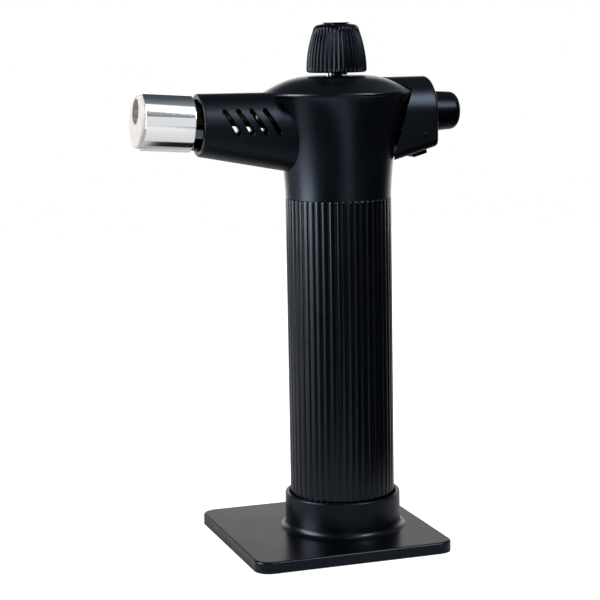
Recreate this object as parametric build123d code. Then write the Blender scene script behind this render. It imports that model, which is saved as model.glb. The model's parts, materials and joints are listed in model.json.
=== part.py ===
from build123d import *
import os
from math import atan2, cos, degrees, pi, radians, sin, sqrt, tan

# Butane hand torch standing in a square base. Millimetres, +Z up. The origin is on the floor
# under the grip's axis, the burner points along -X and the trigger button along +X.

# ---- stand ----
PLATE_LENGTH = 79.0
PLATE_WIDTH = 80.0
PLATE_THICKNESS = 4.4
PLATE_FORWARD = 8.2
PLATE_CORNER_RADIUS = 6.0
PLATE_EDGE_RADIUS = 0.8
PLATE_SKIN = 2.2
PLATE_RIB = 2.0
CENTRE_PAD_RADIUS = 11.0
GATE_MARK_WIDTH = 6.0
GATE_MARK_DEPTH = 0.25
COLLAR_HEIGHT = 13.9
COLLAR_WALL = 1.7
COLLAR_GAP = 0.5
COLLAR_FOOT_RADIUS = 2.5
COLLAR_RIM_RADIUS = 0.6
SEAT_GAP = 0.1

# ---- grip sleeve ----
GRIP_RADIUS = 20.5
GRIP_WALL = 1.9
GRIP_LENGTH = 130.3
GROOVE_COUNT = 44
GROOVE_WIDTH = 1.0
GROOVE_DEPTH = 0.45
FIXED_CLEARANCE = 0.1
RUNNING_CLEARANCE = 0.06
MOVING_GAP = 0.3

# ---- fuel tank and its two valves ----
TANK_WALL = 2.0
TANK_TOP_WALL = 3.0
TANK_RECESS = 6.0
TANK_HEADROOM = 5.0
TANK_CAP_THICKNESS = 2.0
TANK_CAP_PLUG = 4.0
FILL_VALVE_RADIUS = 4.0
FILL_VALVE_LENGTH = 14.0
FILL_VALVE_FLANGE = 1.5
FILL_STEM_RADIUS = 1.2
FILL_STEM_TRAVEL = 1.5
FILL_SPRING_WIRE = 0.5
VALVE_RADIUS = 5.0
VALVE_DEPTH = 12.0
VALVE_FLANGE_RADIUS = 7.0
VALVE_FLANGE_THICKNESS = 2.4
VALVE_NECK_RADIUS = 3.2
VALVE_NECK_HEIGHT = 4.5
SEAL_SECTION = 0.8
STEM_RADIUS = 1.8
STEM_COLLAR_RADIUS = 3.4
STEM_COLLAR_THICKNESS = 1.5
STEM_COLLAR_RISE = 6.7
OUTLET_SPRING_WIRE = 0.5

# ---- head ----
HEAD_HEIGHT = 46.7
HEAD_WALL = 2.2
NECK_RADIUS = 20.4
WAIST_RADIUS = 21.8
WAIST_RISE = 17.1
SHOULDER_RADIUS = 25.3
SHOULDER_RISE = 33.2
LIP_RADIUS = 28.5
LIP_RISE = 40.2
LIP_ROUND = 1.0
DOME_RADIUS = 10.0
SEAM_GAP = 0.12
SPIGOT_DEPTH = 4.0
SPIGOT_WALL = 1.6

# ---- head screws ----
SCREW_SPOTS = ((-13.5, 8.5), (13.5, 6.5), (-9.0, 35.6))
SCREW_RADIUS = 1.1
SCREW_HEAD_RADIUS = 2.2
SCREW_HEAD_HEIGHT = 1.6
SCREW_SEAT = 6.5
SCREW_LENGTH = 12.0
BOSS_WALL = 1.2

# ---- burner shroud ----
SHROUD_REACH = 56.0
SHROUD_ROOT = 14.0
SHROUD_WALL = 1.9
MOUTH_RADIUS = 11.8
MOUTH_RISE = 29.5
MOUTH_ROUND = 0.7
ROOT_HALF_WIDTH = 12.4
ROOT_TOP_DROP = 0.4
ROOT_BOTTOM_DROP = 8.3
SLOT_COUNT = 4
SLOT_PITCH = 5.2
SLOT_WIDTH = 2.0
SLOT_FRONT = 48.0
SLOT_LEAN = 5.2
SLOT_TOP_RISE = 34.7
SLOT_BOTTOM_RISE = 26.5

# ---- burner ----
NOZZLE_TILT = 4.2
TILT_PIVOT = 12.0
SLEEVE_RISE = 30.8
SLEEVE_RADIUS = 10.65
SLEEVE_WALL = 0.6
SLEEVE_PROUD = 22.1
SLEEVE_LENGTH = 19.1
TIP_PROUD = 1.6
TIP_LENGTH = 16.5
TIP_ROUND = 1.15
PORT_RISE = 3.8
PORT_RADIUS = 4.75
PORT_DEPTH = 5.2
HOLDER_THICKNESS = 1.0
HOLDER_HOLE_RADIUS = 0.75
TUBE_RADIUS = 4.0
TUBE_WALL = 0.6
TUBE_COLLAR_RADIUS = 4.3
TUBE_REAR = 27.0
AIR_HOLE_RADIUS = 1.3
CLIP_THICKNESS = 0.8
CLIP_TAB_LENGTH = 8.5
CLIP_TAB_WIDTH = 3.4
JET_RADIUS = 2.6
JET_NOSE_RADIUS = 1.2
PIPE_RADIUS = 1.2
PIPE_WALL = 0.5
ELECTRODE_X = 45.0
ELECTRODE_RADIUS = 0.4
INSULATOR_RADIUS = 1.5
SPARK_GAP = 1.5
ELECTRODE_BEND = 2.0
WIRE_RADIUS = 0.8
WIRE_BEND = 12.0

# ---- flow block, needle and knob ----
BLOCK_HALF = 4.0
BLOCK_BOTTOM_RISE = 14.4
BLOCK_TOP_RISE = 37.4
SEAT_RISE = 28.2
CHAMBER_RADIUS = 1.9
NUT_HEIGHT = 3.0
NUT_RADIUS = 3.9
SPINDLE_RADIUS = 1.3
KNOB_GAP = 1.2
KNOB_HEIGHT = 18.9
KNOB_BASE_RADIUS = 11.6
KNOB_SHOULDER_RADIUS = 8.8
KNOB_BAND = 1.1
CROWN_BAND = 1.9
FLUTE_COUNT = 40
FLUTE_DEPTH = 0.5
FLUTE_WIDTH = 0.9
HUB_RADIUS = 2.1
CAP_RADIUS = 5.1
CAP_RIM = 0.3
CAP_HEIGHT = 1.1
CAP_PLUG_RADIUS = 2.6
CAP_SLOT_WIDTH = 1.1
CAP_SLOT_TURN = 52.0
STOP_PIN_RADIUS = 0.6
STOP_TRACK_RADIUS = 3.5
STOP_LUG_ANGLE = -43.0
STOP_LUG_WIDTH = 1.6

# ---- rear housing and trigger ----
HOUSING_REACH = 36.9
HOUSING_TOP_RISE = 45.6
HOUSING_HALF_WIDTH = 13.3
HOUSING_BOTTOM_RISE = 19.0
HOUSING_SLOPE = 15.5
HOUSING_WALL = 2.0
HOUSING_EDGE_RADIUS = 3.0
HOUSING_END_RADIUS = 1.4
HOUSING_GAP = 0.4
FACE_CONE_RISE = 14.3
FACE_CONE_RADIUS = 22.1
FACE_CONE_SLOPE = 0.26
HOUSING_NECK_STEP = 1.8
NECK_FRONT = 17.0
CAVITY_FRONT = 31.5
LOCK_CAVITY_FRONT = 26.6
LOCK_CAVITY_RISE = 25.2
TRIGGER_RISE = 31.9
TRIGGER_RADIUS = 7.95
TRIGGER_END_RADIUS = 7.15
TRIGGER_PROUD = 12.5
TRIGGER_TRAVEL = 4.5
TRIGGER_WALL = 1.6
TRIGGER_ROUND = 3.0
TRIGGER_FLANGE = 1.1
TRIGGER_INSIDE = 8.0
PIEZO_FRONT = 6.0
PIEZO_LENGTH = 26.0
PIEZO_WIDTH = 7.0
PIEZO_HEIGHT = 9.0
PLUNGER_RADIUS = 2.2
PLUNGER_REST = 9.0
SPRING_WIRE = 0.6
FINGER_HALF_WIDTH = 2.2
FINGER_THICKNESS = 3.0

# ---- gas lever ----
PIVOT_X = 5.2
PIVOT_RISE = 11.2
PIVOT_RADIUS = 1.0
LEVER_HUB_RADIUS = 2.2
LEVER_REACH = 6.3
LEVER_HEIGHT = 12.6
LEVER_TIP_RADIUS = 1.2
PRONG_RADIUS = 1.0
BRACKET_THICKNESS = 1.2

# ---- lock slider ----
LOCK_X = 31.15
LOCK_LENGTH = 6.1
LOCK_WIDTH = 9.0
LOCK_TRAVEL = 4.0
LOCK_DROP = 2.2
LOCK_PLATE = 1.2
LOCK_CATCH_HEIGHT = 1.4
LOCK_CATCH_LENGTH = 2.0

# ---- places worked out from the sizes above ----
GRIP_BOTTOM = PLATE_THICKNESS + SEAT_GAP
HEAD_BASE = GRIP_BOTTOM + GRIP_LENGTH
DOME_TOP = HEAD_BASE + HEAD_HEIGHT
SLEEVE_Z = HEAD_BASE + SLEEVE_RISE
SLEEVE_REACH = SHROUD_REACH + SLEEVE_PROUD
BURNER_Z = SLEEVE_Z + PORT_RISE
TRIGGER_Z = HEAD_BASE + TRIGGER_RISE
GRIP_BORE = GRIP_RADIUS - GRIP_WALL
TANK_RADIUS = GRIP_BORE - FIXED_CLEARANCE
TANK_BOTTOM = GRIP_BOTTOM + TANK_RECESS
TANK_TOP = HEAD_BASE - TANK_HEADROOM
BRACKET_TOP = TANK_TOP + BRACKET_THICKNESS
VALVE_FLANGE_TOP = BRACKET_TOP + VALVE_FLANGE_THICKNESS
VALVE_TOP = VALVE_FLANGE_TOP + VALVE_NECK_HEIGHT
STEM_COLLAR_BOTTOM = HEAD_BASE + STEM_COLLAR_RISE
STEM_COLLAR_TOP = STEM_COLLAR_BOTTOM + STEM_COLLAR_THICKNESS
BLOCK_BOTTOM = HEAD_BASE + BLOCK_BOTTOM_RISE
BLOCK_TOP = HEAD_BASE + BLOCK_TOP_RISE
SEAT_Z = HEAD_BASE + SEAT_RISE
PIVOT_Z = HEAD_BASE + PIVOT_RISE
LEVER_TIP_X = PIVOT_X + LEVER_REACH
LEVER_TIP_Z = PIVOT_Z + LEVER_HEIGHT
STEM_TRAVEL = TRIGGER_TRAVEL * PIVOT_X / LEVER_HEIGHT
KNOB_BOTTOM = DOME_TOP + KNOB_GAP
KNOB_TOP = KNOB_BOTTOM + KNOB_HEIGHT
HOUSING_TOP = HEAD_BASE + HOUSING_TOP_RISE
HOUSING_BOTTOM = HEAD_BASE + HOUSING_BOTTOM_RISE
HOUSING_MIDDLE = HOUSING_TOP - HOUSING_HALF_WIDTH
TIP_FRONT = -SLEEVE_REACH - TIP_PROUD
TIP_REAR = TIP_FRONT + TIP_LENGTH
HOLDER_REAR = TIP_FRONT + PORT_DEPTH + HOLDER_THICKNESS
TUBE_FRONT = HOLDER_REAR + FIXED_CLEARANCE
PIEZO_REAR = PIEZO_FRONT + PIEZO_LENGTH
PLUNGER_END = PIEZO_REAR + PLUNGER_REST
FLANGE_REST = HOUSING_REACH - HOUSING_WALL - FIXED_CLEARANCE
TRIGGER_END = HOUSING_REACH + TRIGGER_PROUD
EAR_INSIDE = VALVE_FLANGE_RADIUS + MOVING_GAP
EAR_OUTSIDE = EAR_INSIDE + BRACKET_THICKNESS
INSULATOR_BOTTOM = BURNER_Z - TUBE_RADIUS - 6.0
INSULATOR_TOP = BURNER_Z - TUBE_RADIUS + 1.2
SPINDLE_TOP = KNOB_TOP - 6.5
FILL_BORE = FILL_STEM_RADIUS + RUNNING_CLEARANCE
FILL_CHAMBER = FILL_VALVE_RADIUS - 1.2
FILL_FLOOR = TANK_BOTTOM + 3.0
FILL_HEAD = FILL_FLOOR + SEAL_SECTION + MOVING_GAP / 2
FILL_ROOF = TANK_BOTTOM + FILL_VALVE_LENGTH - 1.5


# ---- helpers ----
def rod_x(radius, start, end, y=0, z=0):
    """A round bar along X between two stations."""
    return Pos((start + end) / 2, y, z) * Rot(0, 90, 0) * Cylinder(radius, end - start)


def rod_y(radius, start, end, x=0, z=0):
    """A round bar along Y between two stations."""
    return Pos(x, (start + end) / 2, z) * Rot(90, 0, 0) * Cylinder(radius, end - start)


def rod_z(radius, start, end, x=0, y=0):
    """A round bar along Z between two stations."""
    return Pos(x, y, (start + end) / 2) * Cylinder(radius, end - start)


def block(x, y, z):
    """A box between the two stations given for each axis."""
    size = (x[1] - x[0], y[1] - y[0], z[1] - z[0])
    return Pos(sum(x) / 2, sum(y) / 2, sum(z) / 2) * Box(*size)


def tube_z(outer, inner, start, end):
    """A straight tube along Z."""
    return rod_z(outer, start, end) - rod_z(inner, start - 1, end + 1)


def side_slab(face, half_width):
    """A face drawn in X and Z, made into a slab centred on the mid-plane."""
    return extrude(Plane.XZ * face, half_width, both=True)


def polygon(*points):
    """A flat face from a few corners."""
    return make_face(Polyline(*points, close=True))


def compression_spring(radius, wire, length, turns):
    """A helical spring along +Z from the origin."""
    rise = length - 2 * wire
    helix = Helix(pitch=rise / turns, height=rise, radius=radius)
    section = (helix ^ 0) * Circle(wire)
    return Pos(0, 0, wire) * sweep(section, path=helix)


def burner_place():
    """The burner's own frame, turned so that its tip points slightly upwards."""
    pivot = Pos(-SHROUD_REACH - TILT_PIVOT, 0, SLEEVE_Z)
    return pivot * Rot(0, NOZZLE_TILT, 0) * pivot.inverse()


# ---- stand ----
def stand_base():
    """Square plate, cored out below, with the round collar that holds the grip."""
    bore = GRIP_RADIUS + COLLAR_GAP
    outer = bore + COLLAR_WALL
    outline = RectangleRounded(PLATE_LENGTH, PLATE_WIDTH, PLATE_CORNER_RADIUS)
    plate = extrude(Pos(-PLATE_FORWARD, 0) * outline, PLATE_THICKNESS)
    plate = fillet(plate.edges().group_by(Axis.Z)[-1], PLATE_EDGE_RADIUS)
    top = PLATE_THICKNESS + COLLAR_HEIGHT
    body = plate + rod_z(outer, PLATE_THICKNESS / 2, top)
    circles = body.edges().filter_by(GeomType.CIRCLE)
    foot = circles.filter_by(lambda e: abs(e.radius - outer) < 0.01 and e.center().Z < top - 1)
    body = fillet(foot, COLLAR_FOOT_RADIUS)
    body -= rod_z(bore, PLATE_THICKNESS, top + 1)
    rim = body.edges().filter_by(GeomType.CIRCLE).group_by(Axis.Z)[-1]
    body = fillet(rim, COLLAR_RIM_RADIUS)
    inside = RectangleRounded(PLATE_LENGTH - 2 * PLATE_RIB, PLATE_WIDTH - 2 * PLATE_RIB,
                              PLATE_CORNER_RADIUS - PLATE_RIB)
    core = Pos(-PLATE_FORWARD, 0) * inside - Circle(CENTRE_PAD_RADIUS)
    core -= Circle(outer + PLATE_RIB / 2) - Circle(outer - PLATE_RIB / 2)
    reach = PLATE_LENGTH + PLATE_WIDTH
    for turn in (0, 45, 90, 135):
        core -= Rot(0, 0, turn) * Rectangle(reach, PLATE_RIB)
    body -= extrude(core, PLATE_THICKNESS - PLATE_SKIN)
    front = -PLATE_FORWARD - PLATE_LENGTH / 2
    for side in (-1, 1):
        middle = side * GATE_MARK_WIDTH / 2
        body -= block((front - 1, front + GATE_MARK_DEPTH), (middle - 0.2, middle + 0.2),
                      (-1, PLATE_THICKNESS - PLATE_EDGE_RADIUS))
    return body


# ---- grip and tank ----
def grip_sleeve():
    """Extruded sleeve with vertical V grooves all round."""
    ring = Circle(GRIP_RADIUS) - Circle(GRIP_BORE)
    groove = polygon((GRIP_RADIUS - GROOVE_DEPTH, 0), (GRIP_RADIUS + 0.1, GROOVE_WIDTH / 2 + 0.1),
                     (GRIP_RADIUS + 0.1, -GROOVE_WIDTH / 2 - 0.1))
    ring -= [Rot(0, 0, 360 * i / GROOVE_COUNT) * groove for i in range(GROOVE_COUNT)]
    return Pos(0, 0, GRIP_BOTTOM) * extrude(ring, GRIP_LENGTH)


def fuel_tank():
    """Moulded tank: a can with a closed top and a boss for the outlet valve."""
    floor = TANK_BOTTOM + TANK_CAP_THICKNESS
    can = rod_z(TANK_RADIUS, floor, TANK_TOP)
    can -= rod_z(TANK_RADIUS - TANK_WALL, floor - 1, TANK_TOP - TANK_TOP_WALL)
    can += rod_z(VALVE_RADIUS + TANK_WALL, TANK_TOP - VALVE_DEPTH, TANK_TOP - TANK_TOP_WALL / 2)
    return can - rod_z(VALVE_RADIUS, TANK_TOP - VALVE_DEPTH - 1, TANK_TOP + 1)


def tank_bottom_cap():
    """Cap welded into the tank, with the boss that holds the fill valve."""
    seam = TANK_BOTTOM + TANK_CAP_THICKNESS
    plug_radius = TANK_RADIUS - TANK_WALL - FIXED_CLEARANCE
    cap = rod_z(TANK_RADIUS, TANK_BOTTOM, seam)
    cap += tube_z(plug_radius, plug_radius - TANK_WALL, seam - 0.5, seam + TANK_CAP_PLUG)
    cap += rod_z(FILL_VALVE_RADIUS + TANK_WALL, seam - 0.5, TANK_BOTTOM + FILL_VALVE_LENGTH - 1)
    bore = FILL_VALVE_RADIUS + FIXED_CLEARANCE / 2
    return cap - rod_z(bore, TANK_BOTTOM - 1, TANK_BOTTOM + FILL_VALVE_LENGTH)


def fill_valve_body():
    """Brass refill valve screwed up into the bottom cap."""
    body = rod_z(FILL_VALVE_RADIUS, TANK_BOTTOM - FILL_VALVE_FLANGE, TANK_BOTTOM + FILL_VALVE_LENGTH)
    flange_radius = FILL_VALVE_RADIUS + 1.2
    body += rod_z(flange_radius, TANK_BOTTOM - FILL_VALVE_FLANGE, TANK_BOTTOM)
    body -= rod_z(FILL_BORE, TANK_BOTTOM - FILL_VALVE_FLANGE - 1, FILL_FLOOR + 1)
    return body - rod_z(FILL_CHAMBER, FILL_FLOOR, FILL_ROOF)


def fill_valve_seal():
    """Rubber washer on the fill valve's seat."""
    return tube_z(FILL_CHAMBER - FIXED_CLEARANCE, FILL_BORE, FILL_FLOOR, FILL_FLOOR + SEAL_SECTION)


def fill_valve_stem():
    """Refill stem with the head that closes on the washer."""
    tip = TANK_BOTTOM - FILL_VALVE_FLANGE - 1.2
    stem = rod_z(FILL_STEM_RADIUS, tip, FILL_HEAD + 0.5)
    return stem + rod_z(FILL_STEM_RADIUS + 0.9, FILL_HEAD, FILL_HEAD + 1.4)


def fill_valve_spring():
    """Spring that holds the refill stem shut."""
    start = FILL_HEAD + 1.4
    spring = compression_spring(1.6, FILL_SPRING_WIRE / 2, FILL_ROOF - start, 5)
    return Pos(0, 0, start) * spring


# ---- outlet valve and gas lever ----
def outlet_valve_body():
    """Brass outlet valve screwed into the tank's top boss."""
    bottom = TANK_TOP - VALVE_DEPTH
    body = rod_z(VALVE_RADIUS - FIXED_CLEARANCE, bottom, BRACKET_TOP)
    body += rod_z(VALVE_FLANGE_RADIUS, BRACKET_TOP, VALVE_FLANGE_TOP)
    body += rod_z(VALVE_NECK_RADIUS, BRACKET_TOP, VALVE_TOP)
    groove = bottom + VALVE_DEPTH / 2
    inner = VALVE_RADIUS - SEAL_SECTION
    body -= tube_z(VALVE_RADIUS + 1, inner, groove, groove + 2 * SEAL_SECTION)
    return body - rod_z(STEM_RADIUS + RUNNING_CLEARANCE, bottom - 1, VALVE_TOP + 1)


def outlet_seal_ring():
    """Rubber ring in the outlet valve's groove."""
    groove = TANK_TOP - VALVE_DEPTH / 2
    return tube_z(VALVE_RADIUS, VALVE_RADIUS - SEAL_SECTION, groove + 0.1, groove + 2 * SEAL_SECTION - 0.1)


def outlet_valve_stem():
    """Hollow stem that opens the outlet when it is pushed down."""
    bottom = TANK_TOP - VALVE_DEPTH + STEM_TRAVEL
    top = BLOCK_BOTTOM + STEM_TRAVEL + 1.5
    stem = rod_z(STEM_RADIUS, bottom, top)
    return stem + rod_z(STEM_COLLAR_RADIUS, STEM_COLLAR_BOTTOM, STEM_COLLAR_TOP)


def outlet_valve_spring():
    """Spring under the stem's collar that shuts the outlet."""
    mean = STEM_RADIUS + MOVING_GAP + OUTLET_SPRING_WIRE / 2
    spring = compression_spring(mean, OUTLET_SPRING_WIRE / 2, STEM_COLLAR_BOTTOM - VALVE_TOP, 3)
    return Pos(0, 0, VALVE_TOP) * spring


def lever_bracket():
    """Folded steel bracket clamped under the valve, with two ears for the lever's pin."""
    base = rod_z(EAR_OUTSIDE, TANK_TOP, BRACKET_TOP)
    base &= block((-EAR_OUTSIDE, EAR_OUTSIDE), (-EAR_OUTSIDE, EAR_OUTSIDE), (TANK_TOP, BRACKET_TOP))
    pad = block((PIVOT_X - 3, PIVOT_X + 3), (-EAR_OUTSIDE, EAR_OUTSIDE), (TANK_TOP, BRACKET_TOP))
    bracket = base + pad
    for side in (-1, 1):
        wall = sorted((side * EAR_INSIDE, side * EAR_OUTSIDE))
        ear = block((PIVOT_X - 2.5, PIVOT_X + 2.5), wall, (TANK_TOP, PIVOT_Z))
        ear += rod_y(2.5, wall[0], wall[1], PIVOT_X, PIVOT_Z)
        bracket += ear
    bracket -= rod_z(VALVE_RADIUS, TANK_TOP - 1, BRACKET_TOP + 1)
    reach = EAR_OUTSIDE + 1
    return bracket - rod_y(PIVOT_RADIUS + FIXED_CLEARANCE / 2, -reach, reach, PIVOT_X, PIVOT_Z)


def lever_pin():
    """Steel pin through the bracket's ears."""
    reach = EAR_OUTSIDE + 0.4
    return rod_y(PIVOT_RADIUS, -reach, reach, PIVOT_X, PIVOT_Z)


def gas_lever():
    """Bell crank: its tall arm is pushed by the trigger, its fork presses the stem down."""
    half_hub = EAR_INSIDE - MOVING_GAP
    lever = rod_y(LEVER_HUB_RADIUS, -half_hub, half_hub, PIVOT_X, PIVOT_Z)
    lean = degrees(atan2(LEVER_REACH, LEVER_HEIGHT))
    span = sqrt(LEVER_REACH ** 2 + LEVER_HEIGHT ** 2)
    arm = block((-LEVER_TIP_RADIUS, LEVER_TIP_RADIUS), (-LEVER_TIP_RADIUS, LEVER_TIP_RADIUS), (0, span))
    lever += Pos(PIVOT_X, 0, PIVOT_Z) * Rot(0, lean, 0) * arm
    lever += rod_y(LEVER_TIP_RADIUS, -LEVER_TIP_RADIUS, LEVER_TIP_RADIUS, LEVER_TIP_X, LEVER_TIP_Z)
    nose_z = STEM_COLLAR_TOP + MOVING_GAP + PRONG_RADIUS
    fall = PIVOT_Z - nose_z
    reach = sqrt(PIVOT_X ** 2 + fall ** 2)
    tilt = degrees(atan2(fall, PIVOT_X))
    inner = STEM_RADIUS + MOVING_GAP
    outer = inner + 1.2
    for wall in ((-outer, -inner), (inner, outer)):
        lever += rod_y(PRONG_RADIUS, wall[0], wall[1], 0, nose_z)
        prong = block((0, reach), wall, (-PRONG_RADIUS, PRONG_RADIUS))
        lever += Pos(0, 0, nose_z) * Rot(0, -tilt, 0) * prong
    return lever - rod_y(PIVOT_RADIUS + RUNNING_CLEARANCE, -half_hub - 1, half_hub + 1, PIVOT_X, PIVOT_Z)


# ---- head shells ----
def head_profile(inset=0.0):
    """Half outline of the head, moved in from the outside by an inset."""
    top = HEAD_BASE + HEAD_HEIGHT - inset
    lip_z = HEAD_BASE + LIP_RISE - inset * 0.6
    lip_r = LIP_RADIUS - inset
    neck = (NECK_RADIUS - inset, HEAD_BASE)
    under_lip = (lip_r - 0.5 * LIP_ROUND, lip_z - 0.9 * LIP_ROUND)
    over_lip = (lip_r - 0.8 * LIP_ROUND, lip_z + 0.9 * LIP_ROUND)
    flare = Spline(neck, (WAIST_RADIUS - inset, HEAD_BASE + WAIST_RISE),
                   (SHOULDER_RADIUS - inset, HEAD_BASE + SHOULDER_RISE), under_lip,
                   tangents=[(0.03, 1), (0.55, 0.83)])
    lip = ThreePointArc(under_lip, (lip_r, lip_z), over_lip)
    rise = top - over_lip[1]
    middle = (0.5 * over_lip[0] + 0.5 * DOME_RADIUS, over_lip[1] + 0.74 * rise)
    dome = Spline(over_lip, middle, (DOME_RADIUS, top), tangents=[(-0.86, 0.5), (-1, 0.02)])
    lid = Line((DOME_RADIUS, top), (0, top))
    axis = Line((0, top), (0, HEAD_BASE))
    foot = Line((0, HEAD_BASE), neck)
    return make_face([flare, lip, dome, lid, axis, foot])


def head_solid(inset=0.0):
    """The head as a solid of revolution, moved in by an inset."""
    return revolve(Plane.XZ * head_profile(inset), Axis.Z)


def shroud_solid(inset=0.0, front=SHROUD_REACH, rear=SHROUD_ROOT):
    """The shroud's outside: round at the mouth, deeper below towards the head."""
    faces = []
    for station in (front, rear):
        share = (SHROUD_REACH - station) / (SHROUD_REACH - SHROUD_ROOT)
        half = MOUTH_RADIUS + share * (ROOT_HALF_WIDTH - MOUTH_RADIUS)
        top = HEAD_BASE + MOUTH_RISE + MOUTH_RADIUS - share * ROOT_TOP_DROP
        depth = 2 * MOUTH_RADIUS + share * (ROOT_BOTTOM_DROP - ROOT_TOP_DROP)
        middle = top - half
        upper = CenterArc((0, middle), half - inset, 0, 180)
        lower = EllipticalCenterArc((0, middle), half - inset, depth - half - inset, 180, arc_size=180)
        plane = Plane(origin=(-station, 0, 0), x_dir=(0, 1, 0), z_dir=(1, 0, 0))
        faces.append(plane * make_face([upper, lower]))
    return loft(faces)


def housing_outline(inset=0.0, front=0.0):
    """Side view of the rear housing, moved in by an inset."""
    rear = HOUSING_REACH - inset
    fall = tan(radians(HOUSING_SLOPE))
    lift = inset / cos(radians(HOUSING_SLOPE))
    low = HOUSING_BOTTOM + lift - inset * fall
    low_front = low - (rear - front) * fall
    top = HOUSING_TOP - inset
    return polygon((front, low_front), (rear, low), (rear, top), (front, top))


def housing_solid(inset, front, edge):
    """The housing's block: an arch seen from the rear, sloping below."""
    half = HOUSING_HALF_WIDTH - inset
    depth = HOUSING_HALF_WIDTH * 3
    arch = Pos(0, HOUSING_MIDDLE) * Circle(half)
    arch += Pos(0, HOUSING_MIDDLE - depth / 2) * Rectangle(2 * half, depth)
    tunnel = extrude(Plane.YZ * arch, 2 * HOUSING_REACH)
    solid = tunnel & side_slab(housing_outline(inset, front), half + 1)
    lower = solid.edges().filter_by(lambda e: e.center().Z < HOUSING_MIDDLE - half / 2)
    long_edges = lower.filter_by(lambda e: abs(e.tangent_at(0.5).Y) < 0.01 and abs(e.tangent_at(0.5).X) > 0.5)
    return fillet(long_edges, edge)


def face_cone():
    """The cone that cuts the housing's front clear of the head's flare."""
    low = HEAD_BASE
    top = HEAD_BASE + LIP_RISE
    low_radius = FACE_CONE_RADIUS - FACE_CONE_RISE * FACE_CONE_SLOPE
    top_radius = low_radius + LIP_RISE * FACE_CONE_SLOPE
    return Pos(0, 0, (low + top) / 2) * Cone(low_radius, top_radius, top - low)


def housing_neck(grow=0.0):
    """The stepped-in neck that enters the head."""
    return housing_solid(HOUSING_NECK_STEP - grow, NECK_FRONT, HOUSING_EDGE_RADIUS - 1)


def screw_bosses(side):
    """Bosses for the head screws: wells for the screw heads on the right, pilot posts on the left."""
    solids = []
    radius = (SCREW_HEAD_RADIUS if side > 0 else SCREW_RADIUS) + BOSS_WALL
    for x, rise in SCREW_SPOTS:
        ends = sorted((side * SEAM_GAP / 2, side * LIP_RADIUS))
        solids.append(rod_y(radius, ends[0], ends[1], x, HEAD_BASE + rise))
    return solids


def cradle_ribs(side):
    """Ribs inside one half that hold the flow block and the piezo unit."""
    wall = sorted((side * (BLOCK_HALF + FIXED_CLEARANCE), side * LIP_RADIUS))
    ribs = [block((-1, 1), wall, (BLOCK_BOTTOM + 3, BLOCK_BOTTOM + 8))]
    wall = sorted((side * (PIEZO_WIDTH / 2 + FIXED_CLEARANCE), side * LIP_RADIUS))
    low = TRIGGER_Z - PIEZO_HEIGHT / 2
    ribs.append(block((PIEZO_FRONT + 3, PIEZO_FRONT + 4.5), wall, (low, low + PIEZO_HEIGHT)))
    return ribs


def head_half(side):
    """One half shell of the head: side -1 is left, +1 is right."""
    cavity = head_solid(HEAD_WALL)
    cavity += rod_z(NECK_RADIUS - HEAD_WALL, HEAD_BASE - 1, HEAD_BASE + 1)
    outside = head_solid()
    shell = outside - cavity
    spigot_radius = GRIP_BORE - FIXED_CLEARANCE
    shell += tube_z(spigot_radius, spigot_radius - SPIGOT_WALL, HEAD_BASE - SPIGOT_DEPTH, HEAD_BASE + 1.5)
    inside = head_solid(HEAD_WALL / 2)
    for solid in screw_bosses(side) + cradle_ribs(side):
        shell += solid & inside
    shell -= shroud_solid(-FIXED_CLEARANCE)
    shell -= housing_neck(FIXED_CLEARANCE)
    shell -= rod_z(HUB_RADIUS + MOVING_GAP, DOME_TOP - HEAD_WALL - 1, DOME_TOP + 1)
    shell -= rod_z(STOP_PIN_RADIUS + FIXED_CLEARANCE / 4, DOME_TOP - 1.6, DOME_TOP + 1, -STOP_TRACK_RADIUS)
    for x, rise in SCREW_SPOTS:
        z = HEAD_BASE + rise
        if side > 0:
            shell -= rod_y(SCREW_RADIUS + FIXED_CLEARANCE, 0, SCREW_SEAT + 1, x, z)
            shell -= rod_y(SCREW_HEAD_RADIUS + FIXED_CLEARANCE, SCREW_SEAT, LIP_RADIUS + 1, x, z)
        else:
            shell -= rod_y(SCREW_RADIUS + FIXED_CLEARANCE / 2, SCREW_SEAT - SCREW_LENGTH - 0.5, 0, x, z)
    reach = 2 * LIP_RADIUS
    keep = sorted((side * SEAM_GAP / 2, side * reach))
    return shell & block((-reach, reach), keep, (0, KNOB_TOP))


def head_screws():
    """Self-tapping screws, driven from the right side."""
    screws = []
    for x, rise in SCREW_SPOTS:
        z = HEAD_BASE + rise
        screw = rod_y(SCREW_RADIUS, SCREW_SEAT - SCREW_LENGTH, SCREW_SEAT + 0.1, x, z)
        screw += rod_y(SCREW_HEAD_RADIUS, SCREW_SEAT, SCREW_SEAT + SCREW_HEAD_HEIGHT, x, z)
        recess = Box(2.4, 1.6, 0.6) + Box(0.6, 1.6, 2.4)
        screw -= Pos(x, SCREW_SEAT + SCREW_HEAD_HEIGHT, z) * recess
        screws.append(screw)
    return Compound(children=screws)


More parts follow.
